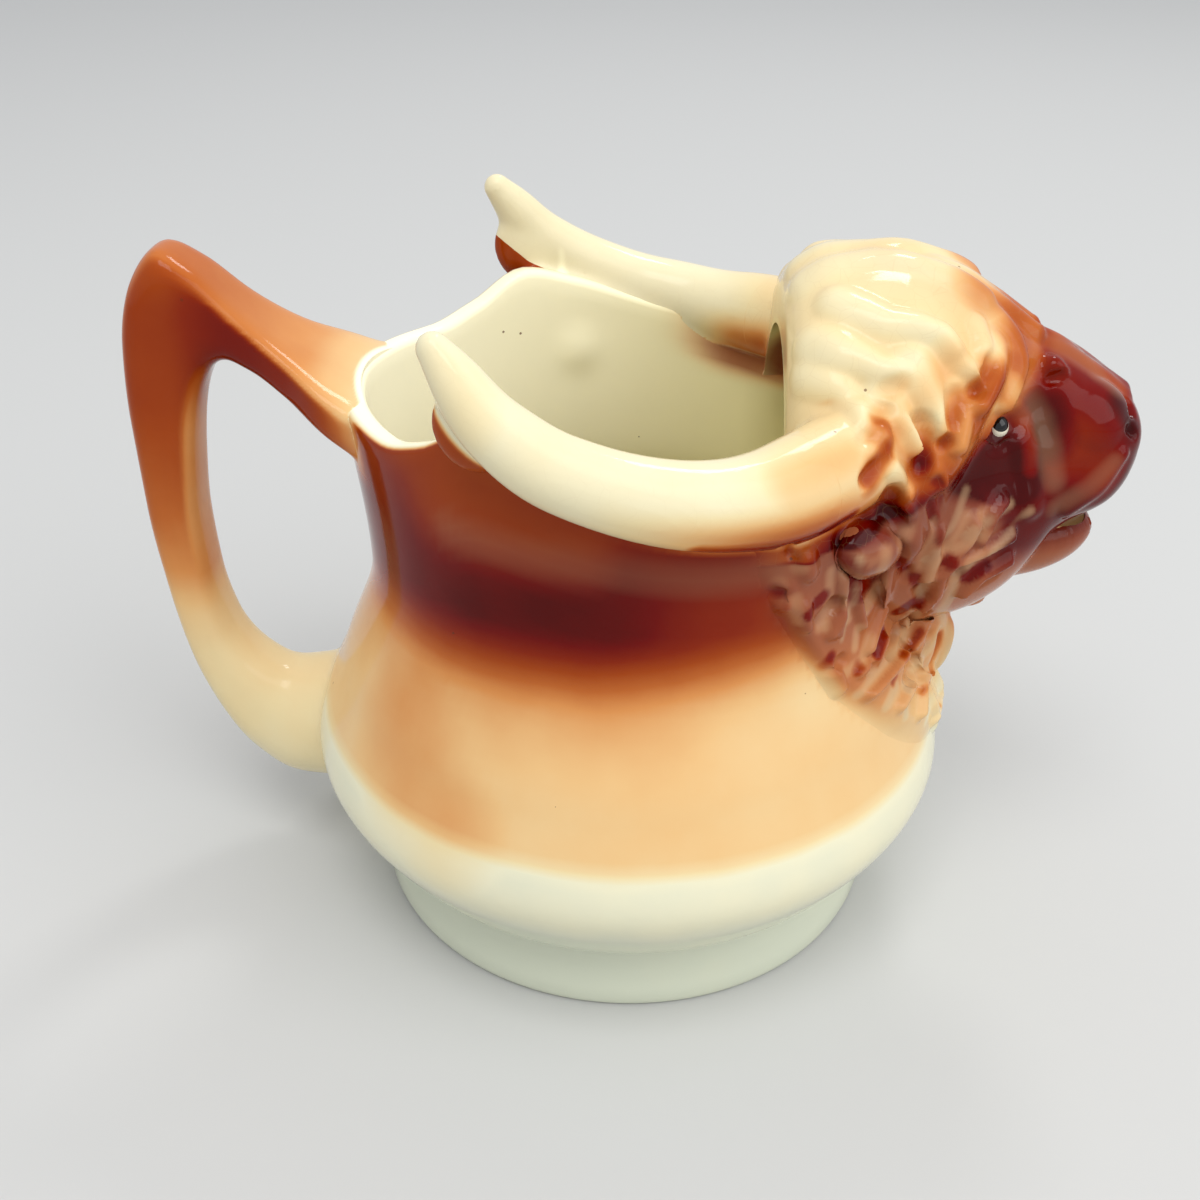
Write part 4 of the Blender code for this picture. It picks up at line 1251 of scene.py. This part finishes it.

# %% Stains, painted shade, painted sheen and bare skin
# Stains, where the coat is thicker (above 0) or thinner, and some painted light: painted shade
# on the horns' tips, along their lower edges, round their roots and low on the belly's left, and a
# painted reflection under the horns: width at the start, width at the end, share, line
STAINS_AND_PAINTED_LIGHT = (
    (7.0, 6.0, 0.12, ((995, 450), (1018, 478))),
    (5.5, 5.0, 0.12, ((1040, 410), (1055, 440))),
    (6.5, 6.0, -0.10, ((1075, 450), (1105, 470))),
    (4.5, 4.0, -0.16, ((1060, 342), (1090, 362), (1118, 388))),
    (3.5, 3.0, 0.10, ((1120, 405), (1130, 425))),
    (2.6, 2.2, -0.14, ((1012, 385), (1024, 420), (1030, 470))),
    (4.5, 4.0, 0.18, ((1010, 372), (995, 398), (982, 425))),
    (7.0, 6.0, 0.20, ((985, 288), (1008, 312), (1018, 340))),
    (5.5, 5.0, 0.20, ((1000, 380), (978, 405), (950, 440), (925, 462))),
    (4.5, 4.0, 0.12, ((950, 360), (925, 395), (890, 420))),
    (4.0, 3.5, 0.20, ((895, 440), (918, 462))),
    # Painted shade round the horns' roots, then along their lower edges
    (3.5, 3.0, 0.30, ((866, 478), (884, 452), (880, 425))),
    (2.6, 2.2, 0.28, ((700, 551), (760, 549), (810, 538), (850, 517))),
    (5.0, 4.0, 0.10, ((790, 480), (850, 455))),
    (7.0, 6.0, 0.10, ((880, 520), (930, 515), (965, 490))),
    (6.0, 5.0, 0.08, ((840, 545), (850, 590))),
    (14.0, 12.0, 0.05, ((450, 610), (520, 610), (600, 610))),
    # Painted reflection on the belly under the horns, then painted shade on the horns' tips
    (9.0, 8.0, -0.09, ((440, 515), (500, 540), (580, 557))),
    (9.0, 7.0, 0.06, ((440, 365), (460, 420))),
    # Painted shade low on the belly's left
    (16.0, 14.0, 0.10, ((400, 740), (415, 790), (440, 830))),
)
# Painted sheen: the mauve reflection of the room and highlights on the brown glaze, and over the
# crown a painted shade: widths, share, line
PAINTED_SHEENS = (
    # Painted reflection on the cheek, the snout's top and the muzzle's edge
    (4.0, 3.0, 0.20, ((1022, 392), (1038, 422), (1048, 452), (1054, 480))),
    (4.0, 3.0, 0.18, ((1062, 346), (1090, 364), (1115, 388))),
    (2.4, 2.0, 0.16, ((1055, 508), (1090, 488), (1115, 462))),
    # Painted shade over the crown
    (9.0, 8.0, 0.14, ((880, 262), (930, 275), (975, 300))),
    # Painted highlights on the mane's ridges
    (1.3, 0.9, 0.55, ((1010, 504), (973, 533), (938, 553), (924, 586), (897, 632), (870, 673))),
    (1.3, 0.9, 0.55, ((1030, 512), (996, 550), (955, 574), (948, 604), (926, 644), (908, 690))),
    (1.1, 0.8, 0.45, ((966, 490), (950, 530), (925, 560))),
    (1.1, 0.8, 0.45, ((860, 560), (855, 600), (842, 640))),
    # Painted reflection on the belly under the horns
    (4.5, 4.0, 0.16, ((450, 530), (560, 562), (700, 580), (775, 575))),
)
# Smooth bare skin between the wool and the cheek: widths, share, line
BARES = (
    (8.5, 7.5, 1.6, ((990, 448), (1006, 466), (1024, 480))),
    (5.5, 5.0, 1.4, ((962, 474), (986, 484))),
)
stains_and_painted_light, painted_sheens, bares = (laid(strokes, from_camera) for strokes in (STAINS_AND_PAINTED_LIGHT, PAINTED_SHEENS, BARES))
print("painted strokes:", len(stains_and_painted_light + painted_sheens + bares))

# %% What the coat depends on


def facing_of(piece):
    """Outward directions at the vertices."""
    flat = np.empty(len(piece.data.vertices) * 3, np.float32)
    piece.data.vertices.foreach_get("normal", flat)
    return flat.reshape(-1, 3).astype(float)


def near_form(points, tree, close, far):
    """1 within the close distance of a form, 0 at the far distance and beyond."""
    away = np.full(len(points), far)
    for i, point in enumerate(points):
        hit = tree.find_nearest(Vector(point), far)
        if hit[0] is not None:
            away[i] = hit[3]
    return ease(far, close, away)


def behind_cap_edge(points):
    """How far a place is behind the cap's front edge."""
    heights = [row[1] for row in CAP_LINE[::-1]]
    return np.interp(points[:, 2], heights, [row[0] for row in CAP_LINE[::-1]]) - points[:, 0]


def share_of(points, strokes):
    """How much of some painted strokes lies at each point, from 0 to 1."""
    return np.clip(1000 * sum(stroke_height(points, stroke) for stroke in strokes), 0.0, 1.0)


# %% What is inside the jug
# Soft steps: where each starts and where it is full. The first three are shares of a face's
# direction, outward or up; the others are metres forward or up
INWARD, HARDLY_OUTWARD, FLOOR_UP = (0.1, -0.2), (0.6, 0.2), (0.4, 0.7)
ABOVE_FOOT, AT_RIM, AT_FLOOR = (0.012, 0.02), (0.097, 0.102), (0.030, 0.024)
BY_HANDLE, BEHIND_HEAD = (-0.018, -0.026), (0.020, 0.010)


def inside_share(x, z, normals, outward, is_vessel):
    """1 on what faces the room inside the jug, 0 on its outside."""
    inside = ease(*INWARD, outward) * ease(*ABOVE_FOOT, z)
    rim = ease(*HARDLY_OUTWARD, outward) * ease(*BY_HANDLE, x) * ease(*AT_RIM, z)
    inside = np.maximum(inside, rim)
    if is_vessel:
        return np.maximum(inside, ease(*FLOOR_UP, normals[:, 2]) * ease(*AT_FLOOR, z))
    return inside * ease(*BEHIND_HEAD, x)


# %% The coat on each form
# Thinnest and thickest coat, the pale one inside and the painted shadow by the far horn's root
THINNEST, THICKEST = 0.02, 0.91
PALE = 0.12
SHADE = 0.74


# Soft steps on the neck: forward, over the belly, under the rim
NECK_FRONT, OVER_BELLY, UNDER_RIM = (-0.005, 0.035), (0.05, 0.07), (0.096, 0.080)
NECK_THINNING = 0.16


def wall_coat(x, z):
    """The sprayed bands of the vessel, thinner toward the front of the neck, and lighter again
    under the rim, partly as a painted reflection.
    """
    front = ease(*NECK_FRONT, x) * ease(*OVER_BELLY, z) * ease(*UNDER_RIM, z)
    return read_curve(RED_BY_HEIGHT, z) - NECK_THINNING * front


# Coat on the crown; then what is added near the cap's edge, close to it and at the temples,
# and what pits add and ridges take away
CROWN, NEAR_EDGE, AT_EDGE, AT_TEMPLE = 0.20, 0.10, 0.26, 0.30
CAP_PIT, CAP_RIDGE = 0.20, 0.06
NEAR_EDGE_STEP, AT_EDGE_STEP, TEMPLE_STEP = (0.026, 0.012), (0.013, 0.001), (0.107, 0.091)


def cap_coat(before_edge, z, dark_pits, high_ridges):
    """Cream on the crown, browner toward the brow and temples and in the pits."""
    cap = CROWN + NEAR_EDGE * ease(*NEAR_EDGE_STEP, before_edge)
    cap = cap + AT_EDGE * ease(*AT_EDGE_STEP, before_edge)
    cap = cap + AT_TEMPLE * ease(*TEMPLE_STEP, z)
    return np.maximum(cap + CAP_PIT * dark_pits - CAP_RIDGE * high_ridges, PALE)


# Coat at a horn's tip and along it; then what is added underneath, partly brown glaze and partly
# painted shade, and toward the root
HORN_TIP_COAT, HORN_IVORY, HORN_UNDER, HORN_ROOT_COAT = 0.05, 0.12, 0.34, 0.10
FACING_DOWN, HORN_MIDDLE = (0.45, -0.40), (-0.010, 0.025)
TIP_STEP, ROOT_STEP = (-0.040, -0.015), (0.012, 0.032)


def horn_coat(x, normals):
    """Ivory at the tip, browner toward the root, and browner underneath, partly as painted shade.
    """
    # Faces turned down are browner, partly as painted shade
    under = ease(*FACING_DOWN, normals[:, 2]) * ease(*HORN_MIDDLE, x)
    ivory = between(HORN_TIP_COAT, HORN_IVORY, ease(*TIP_STEP, x))
    return ivory + HORN_UNDER * under + HORN_ROOT_COAT * ease(*ROOT_STEP, x)


# What is added on the grip's flanks, which leaves the broad face lighter, partly as a painted
# reflection, and under the arm as painted shade; the most inside the grip; and the arm's coat
# where it faces the vessel
FLANK_RED, UNDER_ARM_RED, INNER_GRIP, ARM_END = 0.10, 0.30, 0.40, 0.16
# Soft steps, by how far a face points aside, forward, to the vessel or down
ASIDE, AHEAD, TO_VESSEL, DOWNWARD = (0.45, 0.85), (0.35, 0.8), (0.3, 0.7), (0.45, 0.0)
# Soft steps up the grip, down its inner side, back along the arm, at the wall, and where the
# arm takes over from the grip, forward and up
UP_GRIP, DOWN_GRIP = (0.060, 0.110), (0.125, 0.09)
BACK_ALONG_ARM, AT_WALL = (-0.040, -0.056), (-0.056, -0.050)
ARM_STARTS, ARM_LEVEL = (-0.080, -0.068), (0.088, 0.1)


def handle_coat(x, z, normals):
    """Salmon on the broad outer face, partly a painted reflection, deep red on the flanks,
    painted shade under the arm, and pale toward the foot and rim.
    """
    flank = ease(*ASIDE, np.abs(normals[:, 1]))
    # Redder flanks leave the broad face lighter, partly as a painted reflection
    grip = read_curve(GRIP_BY_HEIGHT, z) + FLANK_RED * flank * ease(*UP_GRIP, z)
    inner = ease(*AHEAD, normals[:, 0])
    grip = between(grip, np.minimum(grip, INNER_GRIP), inner * ease(*DOWN_GRIP, z))
    arm = read_curve(ARM_BY_LENGTH, x)
    # Painted shade under the arm, on faces that turn down
    arm = arm + UNDER_ARM_RED * ease(*DOWNWARD, normals[:, 2]) * ease(*BACK_ALONG_ARM, x)
    arm = between(arm, ARM_END, ease(*TO_VESSEL, normals[:, 0]) * ease(*AT_WALL, x))
    return between(grip, arm, ease(*ARM_STARTS, x) * ease(*ARM_LEVEL, z))


# %% One rule for all the clay
# A stroke this deep or high counts as a full pit or ridge
FULL_PIT, FULL_RIDGE = 0.0016, 0.0020
# A place this near a form belongs to it
TOUCHING = 0.0006
# Past these distances a place has nothing more of the handle, the horns or the inside
HANDLE_FADE, HORN_FADE, INSIDE_FADE = 0.0035, 0.0022, 0.0014
# What pits add to the wool's coat and ridges take away, and the darkest that stains and painted
# shade make it
WOOL_PIT, WOOL_RIDGE, DARKEST_WOOL = 0.26, 0.14, 0.80
# Bare skin of the face; then what is added low on it and in pits
BARE, BARE_LOW, BARE_PIT = 0.80, 0.06, 0.12
# Painted sheen on the wool, more on ridges as painted highlights, less in pits, and the most of it
# anywhere
WOOL_PAINTED_SHEEN, RIDGE_PAINTED_SHEEN, PIT_PAINTED_SHEEN, MOST_PAINTED_SHEEN = 0.24, 0.42, 0.50, 0.75
# Painted shadow by the far horn's root: its strength, and how far from the horn it is full and
# gone
HORN_SHADE, SHADE_NEAR, SHADE_FAR = 0.9, 0.0020, 0.0075
# Soft steps that bound the parts of the skin: metres forward (X), up (Z) or behind the cap's
# edge; the rim's top also by how far a face points up
FACE_LOW, FACE_X, FACE_Z = (0.105, 0.09), (0.058, 0.064), (0.074, 0.082)
CAP_EDGE, CAP_X, CAP_Z = (-0.0012, 0.0022), (0.018, 0.026), (0.0855, 0.0895)
HANDLE_X, HORN_X = (-0.035, -0.040), (0.040, 0.030)
TOP_UP, TOP_X, TOP_Z = (0.55, 0.85), (0.035, 0.02), (0.06, 0.07)
LINING_X, SHADE_X, PAINTED_SHEEN_Z = (0.068, 0.058), (0.0, 0.02), (0.040, 0.056)


def coat_at(points, normals, two_faced, is_vessel):
    """Coat, lining and painted sheen, by one rule, so that the glaze runs on from piece to piece.
    """
    x, y, z = points.T
    outward = np.ones(len(points))
    if two_faced:
        outward = (normals[:, 0] * x + normals[:, 1] * y) / (np.hypot(x, y) + 1e-9)
    dark_pits = np.minimum(blended(points, shown_pits) / FULL_PIT, 1.0)
    high_ridges = np.minimum(blended(points, shown_ridges) / FULL_RIDGE, 1.0)
    # Mane on the wall
    wool = read_curve(MANE_BY_HEIGHT, z) + WOOL_PIT * dark_pits - WOOL_RIDGE * high_ridges
    coat = between(wall_coat(x, z), wool, mane_pad(points))
    # Bare skin of the face and cheek
    bare = BARE + BARE_LOW * ease(*FACE_LOW, z) + BARE_PIT * dark_pits
    face_part = ease(*FACE_X, x) * ease(*FACE_Z, z)
    face_part = np.maximum(face_part, share_of(points, bares))
    coat = between(coat, bare, face_part)
    # Cap of wool, handle and horns over them
    before_edge = behind_cap_edge(points)
    cap_part = ease(*CAP_EDGE, before_edge) * ease(*CAP_Z, z) * ease(*CAP_X, x)
    coat = between(coat, cap_coat(before_edge, z, dark_pits, high_ridges), cap_part)
    near_handle = near_form(points, handle_tree, TOUCHING, HANDLE_FADE)
    near_handle = near_handle * ease(*HANDLE_X, x)
    coat = between(coat, handle_coat(x, z, normals), near_handle)
    horn = np.maximum(*[near_form(points, tree, TOUCHING, HORN_FADE) for tree in horn_trees])
    horn = horn * ease(*HORN_X, x)
    coat = between(coat, horn_coat(x, normals), horn)
    # Stains and painted shade, which never make the wool quite black
    woolly = mane_pad(points) * (1 - face_part) * (1 - cap_part) * (1 - horn)
    coat = coat + 1000 * sum(stroke_height(points, stroke) for stroke in stains_and_painted_light)
    coat = between(coat, np.minimum(coat, DARKEST_WOOL), woolly)
    # The pale inside and the rim's top
    inside = inside_share(x, z, normals, outward, is_vessel)
    top = ease(*TOP_UP, normals[:, 2]) * ease(*TOP_Z, z) * ease(*TOP_X, x) * is_vessel
    coat = between(np.clip(coat, THINNEST, THICKEST), PALE, np.maximum(inside, top))
    lining = inside
    if not is_vessel:
        lining = np.max([near_form(points, tree, TOUCHING, INSIDE_FADE)
                         for tree in inner_trees], axis=0) * ease(*LINING_X, x)
    # Painted shadow under the far horn's root on the inner wall, partly also brown glaze run in
    # there
    shade = HORN_SHADE * near_form(points, horn_trees[0], SHADE_NEAR, SHADE_FAR)
    shade = shade * lining * ease(*SHADE_X, x)
    # Painted sheen and painted highlights on the wool's ridges and along the painted lines
    haze = woolly * ease(*PAINTED_SHEEN_Z, z) * np.clip(
        WOOL_PAINTED_SHEEN + RIDGE_PAINTED_SHEEN * high_ridges - PIT_PAINTED_SHEEN * dark_pits, 0.0, 1.0)
    haze = np.clip(haze + share_of(points, painted_sheens), 0.0, MOST_PAINTED_SHEEN)
    haze = haze * (1 - near_handle)
    return between(coat, SHADE, shade), lining * (1 - shade), haze * (1 - lining)


# Coat of the ears and of the painted shade in a dark crescent on each; of the lip's outside,
# edge and scoop
EAR_COAT, EAR_CRESCENT = 0.64, 0.14
LIP_COAT, LIP_EDGE, LIP_SCOOP = 0.54, 0.84, 0.34
# Painted sheen on the ears, less in their crescent, and on the lip, less at its edge
EAR_PAINTED_SHEEN, LIP_PAINTED_SHEEN = 0.26, 0.34
# Soft steps over and under the ear's crescent, down from the lip's top, and by how little or
# how far a face points up
CRESCENT_TOP, CRESCENT_FOOT = (0.0014, 0.0004), (-0.0020, -0.0010)
LIP_DOWN, HARDLY_UP, WELL_UP = (0.0032, 0.0018), (0.5, 0.2), (0.2, 0.6)


def coat_of(name, points, normals):
    """Coat, lining and painted sheen of one piece; the foot, ears and lip have rules of their own.
    """
    z = points[:, 2]
    none = np.zeros(len(points))
    if name.startswith("foot"):
        return none, none, none
    if "ear_" in name:
        height = z - EAR_CENTRE.z
        # The dark crescent across the ear's middle is painted shade under the lobe's top
        crescent = ease(*CRESCENT_TOP, height) * ease(*CRESCENT_FOOT, height)
        return EAR_COAT + EAR_CRESCENT * crescent, none, EAR_PAINTED_SHEEN - EAR_PAINTED_SHEEN * crescent
    if name.startswith("lip"):
        edge = ease(*LIP_DOWN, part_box("lower_lip")[1].z - z) * ease(*HARDLY_UP, normals[:, 2])
        outer = between(none + LIP_COAT, LIP_EDGE, edge)
        coat = between(outer, LIP_SCOOP, ease(*WELL_UP, normals[:, 2]))
        return coat, none, LIP_PAINTED_SHEEN - LIP_PAINTED_SHEEN * edge
    return coat_at(points, normals, name.startswith("vessel") or "horn" in name,
                   name.startswith("vessel"))


# %% Keep the numbers on the pieces


def keep_numbers(piece, name, values):
    attribute = piece.data.attributes.new(name, "FLOAT", "POINT")
    attribute.data.foreach_set("value", values.astype(np.float32))


for name, piece in pieces.items():
    if "eye" not in name:
        kept = coat_of(name, corners(piece), facing_of(piece))
        # The third number is the painted sheen
        for word, values in zip(("coat", "lining", "haze"), kept):
            keep_numbers(piece, word, values)
        print(name, "coat from", round(float(kept[0].min()), 2), "to",
              round(float(kept[0].max()), 2))

# %% [markdown]
# ## Glaze in nodes
# Sums in the shader are written as Python sums. `Wire` wraps a socket and adds a Math node for
# each sign, and `Board.add` makes any other node.

# %% Board and Wire


class Wire:
    """A node's output that can be used in sums."""

    def __init__(self, board, socket):
        self.board, self.socket = board, socket

    def __add__(self, other):
        return self.board.add("ShaderNodeMath", {"operation": "ADD"}, self, other)

    def __sub__(self, other):
        return self.board.add("ShaderNodeMath", {"operation": "SUBTRACT"}, self, other)

    def __rsub__(self, other):
        return self.board.add("ShaderNodeMath", {"operation": "SUBTRACT"}, other, self)

    def __mul__(self, other):
        return self.board.add("ShaderNodeMath", {"operation": "MULTIPLY"}, self, other)

    def __gt__(self, other):
        return self.board.add("ShaderNodeMath", {"operation": "GREATER_THAN"}, self, other)

    def __lt__(self, other):
        return self.board.add("ShaderNodeMath", {"operation": "LESS_THAN"}, self, other)

    __radd__ = __add__
    __rmul__ = __mul__


class Board:
    """A material's nodes, wired by one method."""

    def __init__(self, name):
        self.material = bpy.data.materials.new(name)
        self.material.use_nodes = True
        self.tree = self.material.node_tree
        self.shader = self.tree.nodes["Principled BSDF"]

    def feed(self, socket, value):
        if isinstance(value, Wire):
            self.tree.links.new(value.socket, socket)
        else:
            socket.default_value = value

    def add(self, kind, settings, *values, output=0, **named):
        node = self.tree.nodes.new(kind)
        for key, value in settings.items():
            if key == "stops":
                ramp = node.color_ramp
                while len(ramp.elements) < len(value):
                    ramp.elements.new(1.0)
                for element, (place, colour) in zip(ramp.elements, value):
                    element.position = place
                    element.color = colour
            else:
                setattr(node, key, value)
        for i, value in enumerate(values):
            self.feed(node.inputs[i], value)
        for key, value in named.items():
            self.feed(node.inputs[key.replace("_", " ")], value)
        return Wire(self, node.outputs[output])

    def surface(self, **named):
        for key, value in named.items():
            self.feed(self.shader.inputs[key.replace("_", " ")], value)


def paint(code):
    """A colour written as #rrggbb, in the light values that nodes use."""
    parts = [int(code[i:i + 2], 16) / 255 for i in (1, 3, 5)]
    return (*[c / 12.92 if c <= 0.04045 else ((c + 0.055) / 1.055) ** 2.4 for c in parts], 1.0)


# %% [markdown]
# ## The glaze
# One recipe for all the clay: the coat number, roughened by a soft noise, is read off a row of
# colours. Two more numbers mix in a painted sheen, which stands for the mauve reflection of the
# room and for highlights on the brown glaze, and the pale lining. Pinholes and specks of iron are
# tiny cells; the old pale glaze is crazed with fine cracks; and the gloss wavers a little, as on
# any hand-sprayed pot.

# %% Glaze recipe
GLAZE_ROW = (
    (0.00, paint("#CFD3BE")), (0.08, paint("#E4DFC0")), (0.18, paint("#E5D2A2")),
    (0.30, paint("#E0B67C")), (0.42, paint("#CF8A4C")), (0.52, paint("#B46028")),
    (0.62, paint("#9C400C")), (0.72, paint("#832202")), (0.82, paint("#6A0400")),
    (0.91, paint("#420100")), (1.00, paint("#1C0000")),
)
# The pale glaze inside, from the handle's end to the head's end: olive toward the head, and
# darker still in the head's passage as painted shade
LINING_ROW = ((0.0, paint("#FFF9DA")), (0.45, paint("#FDF5CE")), (0.72, paint("#F2E8B4")),
              (0.85, paint("#C8BA78")), (1.0, paint("#9C8C48")))
# The lining's row is read along the jug: it spans a tenth of a metre, its middle over the foot's
LINING_SPREAD = 10.0
# Colours of the painted sheen, the mauve reflection of the room on the brown glaze, of iron specks
# and of crazing
PAINTED_SHEEN_COLOUR, IRON, CRAZE = paint("#B4906C"), paint("#5A2A12"), paint("#B08A58")
# Roughness of the glaze, and how strongly it mirrors
GLOSS = 0.10
SHEEN = 0.15
# How fine the clouds, spots and cracks are: cells to the metre
CLOUD, WIDE_CLOUD, RIPPLE = 110.0, 28.0, 55.0
SPOTS, SPOT_GROUPS, CRACKS = 210.0, 75.0, 340.0
# Half a speck, and half a crack, as shares of a cell
SPECK_SIZE, CRACK_SIZE = 0.055, 0.016
# Specks show only where the noise that groups them is above this
GROUP_LEVEL = 0.60
# The wide clouds' strength beside the small ones'; painted sheen where a cloud is thinnest, and
# what the cloud adds
WIDE_SHARE, THIN_PAINTED_SHEEN, CLOUD_PAINTED_SHEEN = 1.4, 0.7, 0.6
# The ripple's strength, and its height in metres
RIPPLE_STRENGTH, RIPPLE_HEIGHT = 0.25, 0.0004


def glaze(name, mottle, crazing, specks):
    """The glaze of one piece, with its own shares of mottle, crazing and specks."""
    board = Board(name)
    place = board.add("ShaderNodeTexCoord", {}, output=3)
    coat = board.add("ShaderNodeAttribute", {"attribute_name": "coat"}, output=2)
    cloud = board.add("ShaderNodeTexNoise", {}, place, Scale=CLOUD, Detail=4.0)
    wide_cloud = board.add("ShaderNodeTexNoise", {}, place, Scale=WIDE_CLOUD, Detail=2.0)
    coat = coat + (cloud - 0.5) * mottle + (wide_cloud - 0.5) * (WIDE_SHARE * mottle)
    colour = board.add("ShaderNodeValToRGB", {"stops": GLAZE_ROW}, coat)
    # The painted sheen stands for the mauve reflection of the room and highlights on the brown
    # glaze
    haze = board.add("ShaderNodeAttribute", {"attribute_name": "haze"}, output=2)
    haze = haze * (THIN_PAINTED_SHEEN + wide_cloud * CLOUD_PAINTED_SHEEN)
    colour = board.add("ShaderNodeMix", {"data_type": "RGBA"}, haze, A=colour,
                       B=PAINTED_SHEEN_COLOUR, output=2)
    lining = board.add("ShaderNodeAttribute", {"attribute_name": "lining"}, output=2)
    forward = board.add("ShaderNodeSeparateXYZ", {}, place)
    # The lining's colour along the jug, olive toward the head and darkened as painted shade in its
    # passage
    olive = board.add("ShaderNodeValToRGB", {"stops": LINING_ROW},
                      forward * LINING_SPREAD + 0.5)
    colour = board.add("ShaderNodeMix", {"data_type": "RGBA"}, lining, A=colour, B=olive, output=2)
    spots = board.add("ShaderNodeTexVoronoi", {}, place, Scale=SPOTS)
    group = board.add("ShaderNodeTexNoise", {}, place, Scale=SPOT_GROUPS, Detail=1.0)
    speck = (SPECK_SIZE > spots) * (group > GROUP_LEVEL) * specks
    colour = board.add("ShaderNodeMix", {"data_type": "RGBA"}, speck, A=colour,
                       B=IRON, output=2)
    cells = board.add("ShaderNodeTexVoronoi", {"feature": "DISTANCE_TO_EDGE"}, place,
                      Scale=CRACKS)
    crack = (CRACK_SIZE > cells) * crazing
    colour = board.add("ShaderNodeMix", {"data_type": "RGBA"}, crack, A=colour,
                       B=CRAZE, output=2)
    board.surface(Base_Color=colour, Roughness=GLOSS, Specular_IOR_Level=SHEEN)
    ripple = board.add("ShaderNodeTexNoise", {}, place, Scale=RIPPLE, Detail=3.0)
    bump = board.add("ShaderNodeBump", {}, Strength=RIPPLE_STRENGTH,
                     Distance=RIPPLE_HEIGHT, Height=ripple)
    board.surface(Normal=bump)
    return board.material


# %% Mix the finishes
# Mottle, crazing and specks
RECIPES = {
    "vessel_glaze": (0.045, 0.0, 0.8), "foot_glaze": (0.02, 0.0, 0.0),
    "handle_glaze": (0.05, 0.0, 0.5), "horn_glaze": (0.03, 0.03, 0.0),
    "face_glaze": (0.09, 0.0, 0.0), "mane_glaze": (0.08, 0.0, 0.0),
    "forelock_glaze": (0.06, 0.08, 0.7), "lip_glaze": (0.06, 0.0, 0.0),
    "ear_glaze": (0.08, 0.0, 0.0),
}
finishes = {name: glaze(name, *amounts) for name, amounts in RECIPES.items()}

# %% Eye glaze
PUPIL_RADIUS = 0.0018
eye_board = Board("eye_glaze")
eye_place = eye_board.add("ShaderNodeTexCoord", {}, output=3)
either_side = eye_board.add("ShaderNodeVectorMath", {"operation": "ABSOLUTE"}, eye_place)
from_pupil = eye_board.add("ShaderNodeVectorMath", {"operation": "DISTANCE"}, either_side,
                           pupil_place, output=1)
eye_colour = eye_board.add("ShaderNodeMix", {"data_type": "RGBA"}, from_pupil > PUPIL_RADIUS,
                           A=paint("#050303"), B=paint("#F0EAD2"), output=2)
eye_board.surface(Base_Color=eye_colour, Roughness=0.06)
finishes["eye_glaze"] = eye_board.material
print("finishes:", ", ".join(finishes))

# %% [markdown]
# ## Dress the pieces
# Each glazed piece stands for one solid of the frame. It rides on the frame's only body, the
# solid that it stands for is hidden, and it takes the finish of that member.

# %% Dress the pieces
DRESS = {
    "vessel_glazed": ("vessel_body", "vessel_glaze"), "foot_glazed": ("foot_ring", "foot_glaze"),
    "handle_glazed": ("handle", "handle_glaze"), "left_horn_glazed": ("left_horn", "horn_glaze"),
    "right_horn_glazed": ("right_horn", "horn_glaze"), "head_glazed": ("bison_head", "face_glaze"),
    "forelock_glazed": ("forelock", "forelock_glaze"),
    "left_mane_glazed": ("left_mane", "mane_glaze"),
    "right_mane_glazed": ("right_mane", "mane_glaze"), "beard_glazed": ("beard", "mane_glaze"),
    "lip_glazed": ("lower_lip", "lip_glaze"), "left_ear_glazed": ("left_ear", "ear_glaze"),
    "right_ear_glazed": ("right_ear", "ear_glaze"), "left_eye_glazed": ("left_eye", "eye_glaze"),
    "right_eye_glazed": ("right_eye", "eye_glaze"),
}
for name, (node, slot) in DRESS.items():
    piece = pieces[name]
    piece.data.materials.clear()
    piece.data.materials.append(finishes[slot])
    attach(piece, "root")
    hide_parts(node)
print("dressed:", len(DRESS), "pieces")

# %% [markdown]
# ## Floor and light
# A pale table and soft daylight: a wide window in front on the right, which throws the shadow to
# the left as in the photograph, a small one behind, a pane overhead on the camera's side, and a
# bright room all round for the glaze to mirror.

# %% Floor
FLOOR_SIZE = 6.0
bpy.ops.object.select_all(action="DESELECT")
bpy.ops.mesh.primitive_plane_add(size=FLOOR_SIZE)
floor = bpy.context.object
floor.name = "floor"
table = Board("table")
table.surface(Base_Color=paint("#C4C4C1"), Roughness=0.9)
floor.data.materials.append(table.material)
print("floor:", FLOOR_SIZE, "m wide")

# %% Light
LAMP_TARGET = Vector((0.0, 0.0, 0.06))
# Place, size in metres, power in watts
LAMPS = {
    "window": ((0.95, -0.60, 1.05), 1.3, 10.0),
    "far_window": ((0.30, 0.80, 1.10), 0.25, 2.4),
    "near_pane": ((-0.10, -0.50, 1.30), 0.6, 6.6),
}
SKY_COLOUR, SKY_STRENGTH = (0.93, 0.95, 1.0, 1.0), 0.78


def soft_lamp(name, place, size, power):
    """A square lamp turned to the middle of the jug."""
    bpy.ops.object.select_all(action="DESELECT")
    bpy.ops.object.light_add(type="AREA", location=place)
    lamp = bpy.context.object
    lamp.name = name
    lamp.data.shape = "SQUARE"
    lamp.data.size = size
    lamp.data.energy = power
    lamp.rotation_euler = (LAMP_TARGET - Vector(place)).to_track_quat("-Z", "Y").to_euler()


for name, (place, size, power) in LAMPS.items():
    soft_lamp(name, place, size, power)
world = bpy.data.worlds.new("room")
bpy.context.scene.world = world
world.use_nodes = True
sky = world.node_tree.nodes["Background"]
sky.inputs["Color"].default_value = SKY_COLOUR
sky.inputs["Strength"].default_value = SKY_STRENGTH
bpy.context.scene.view_settings.view_transform = "Standard"
print("lamps:", ", ".join(LAMPS))
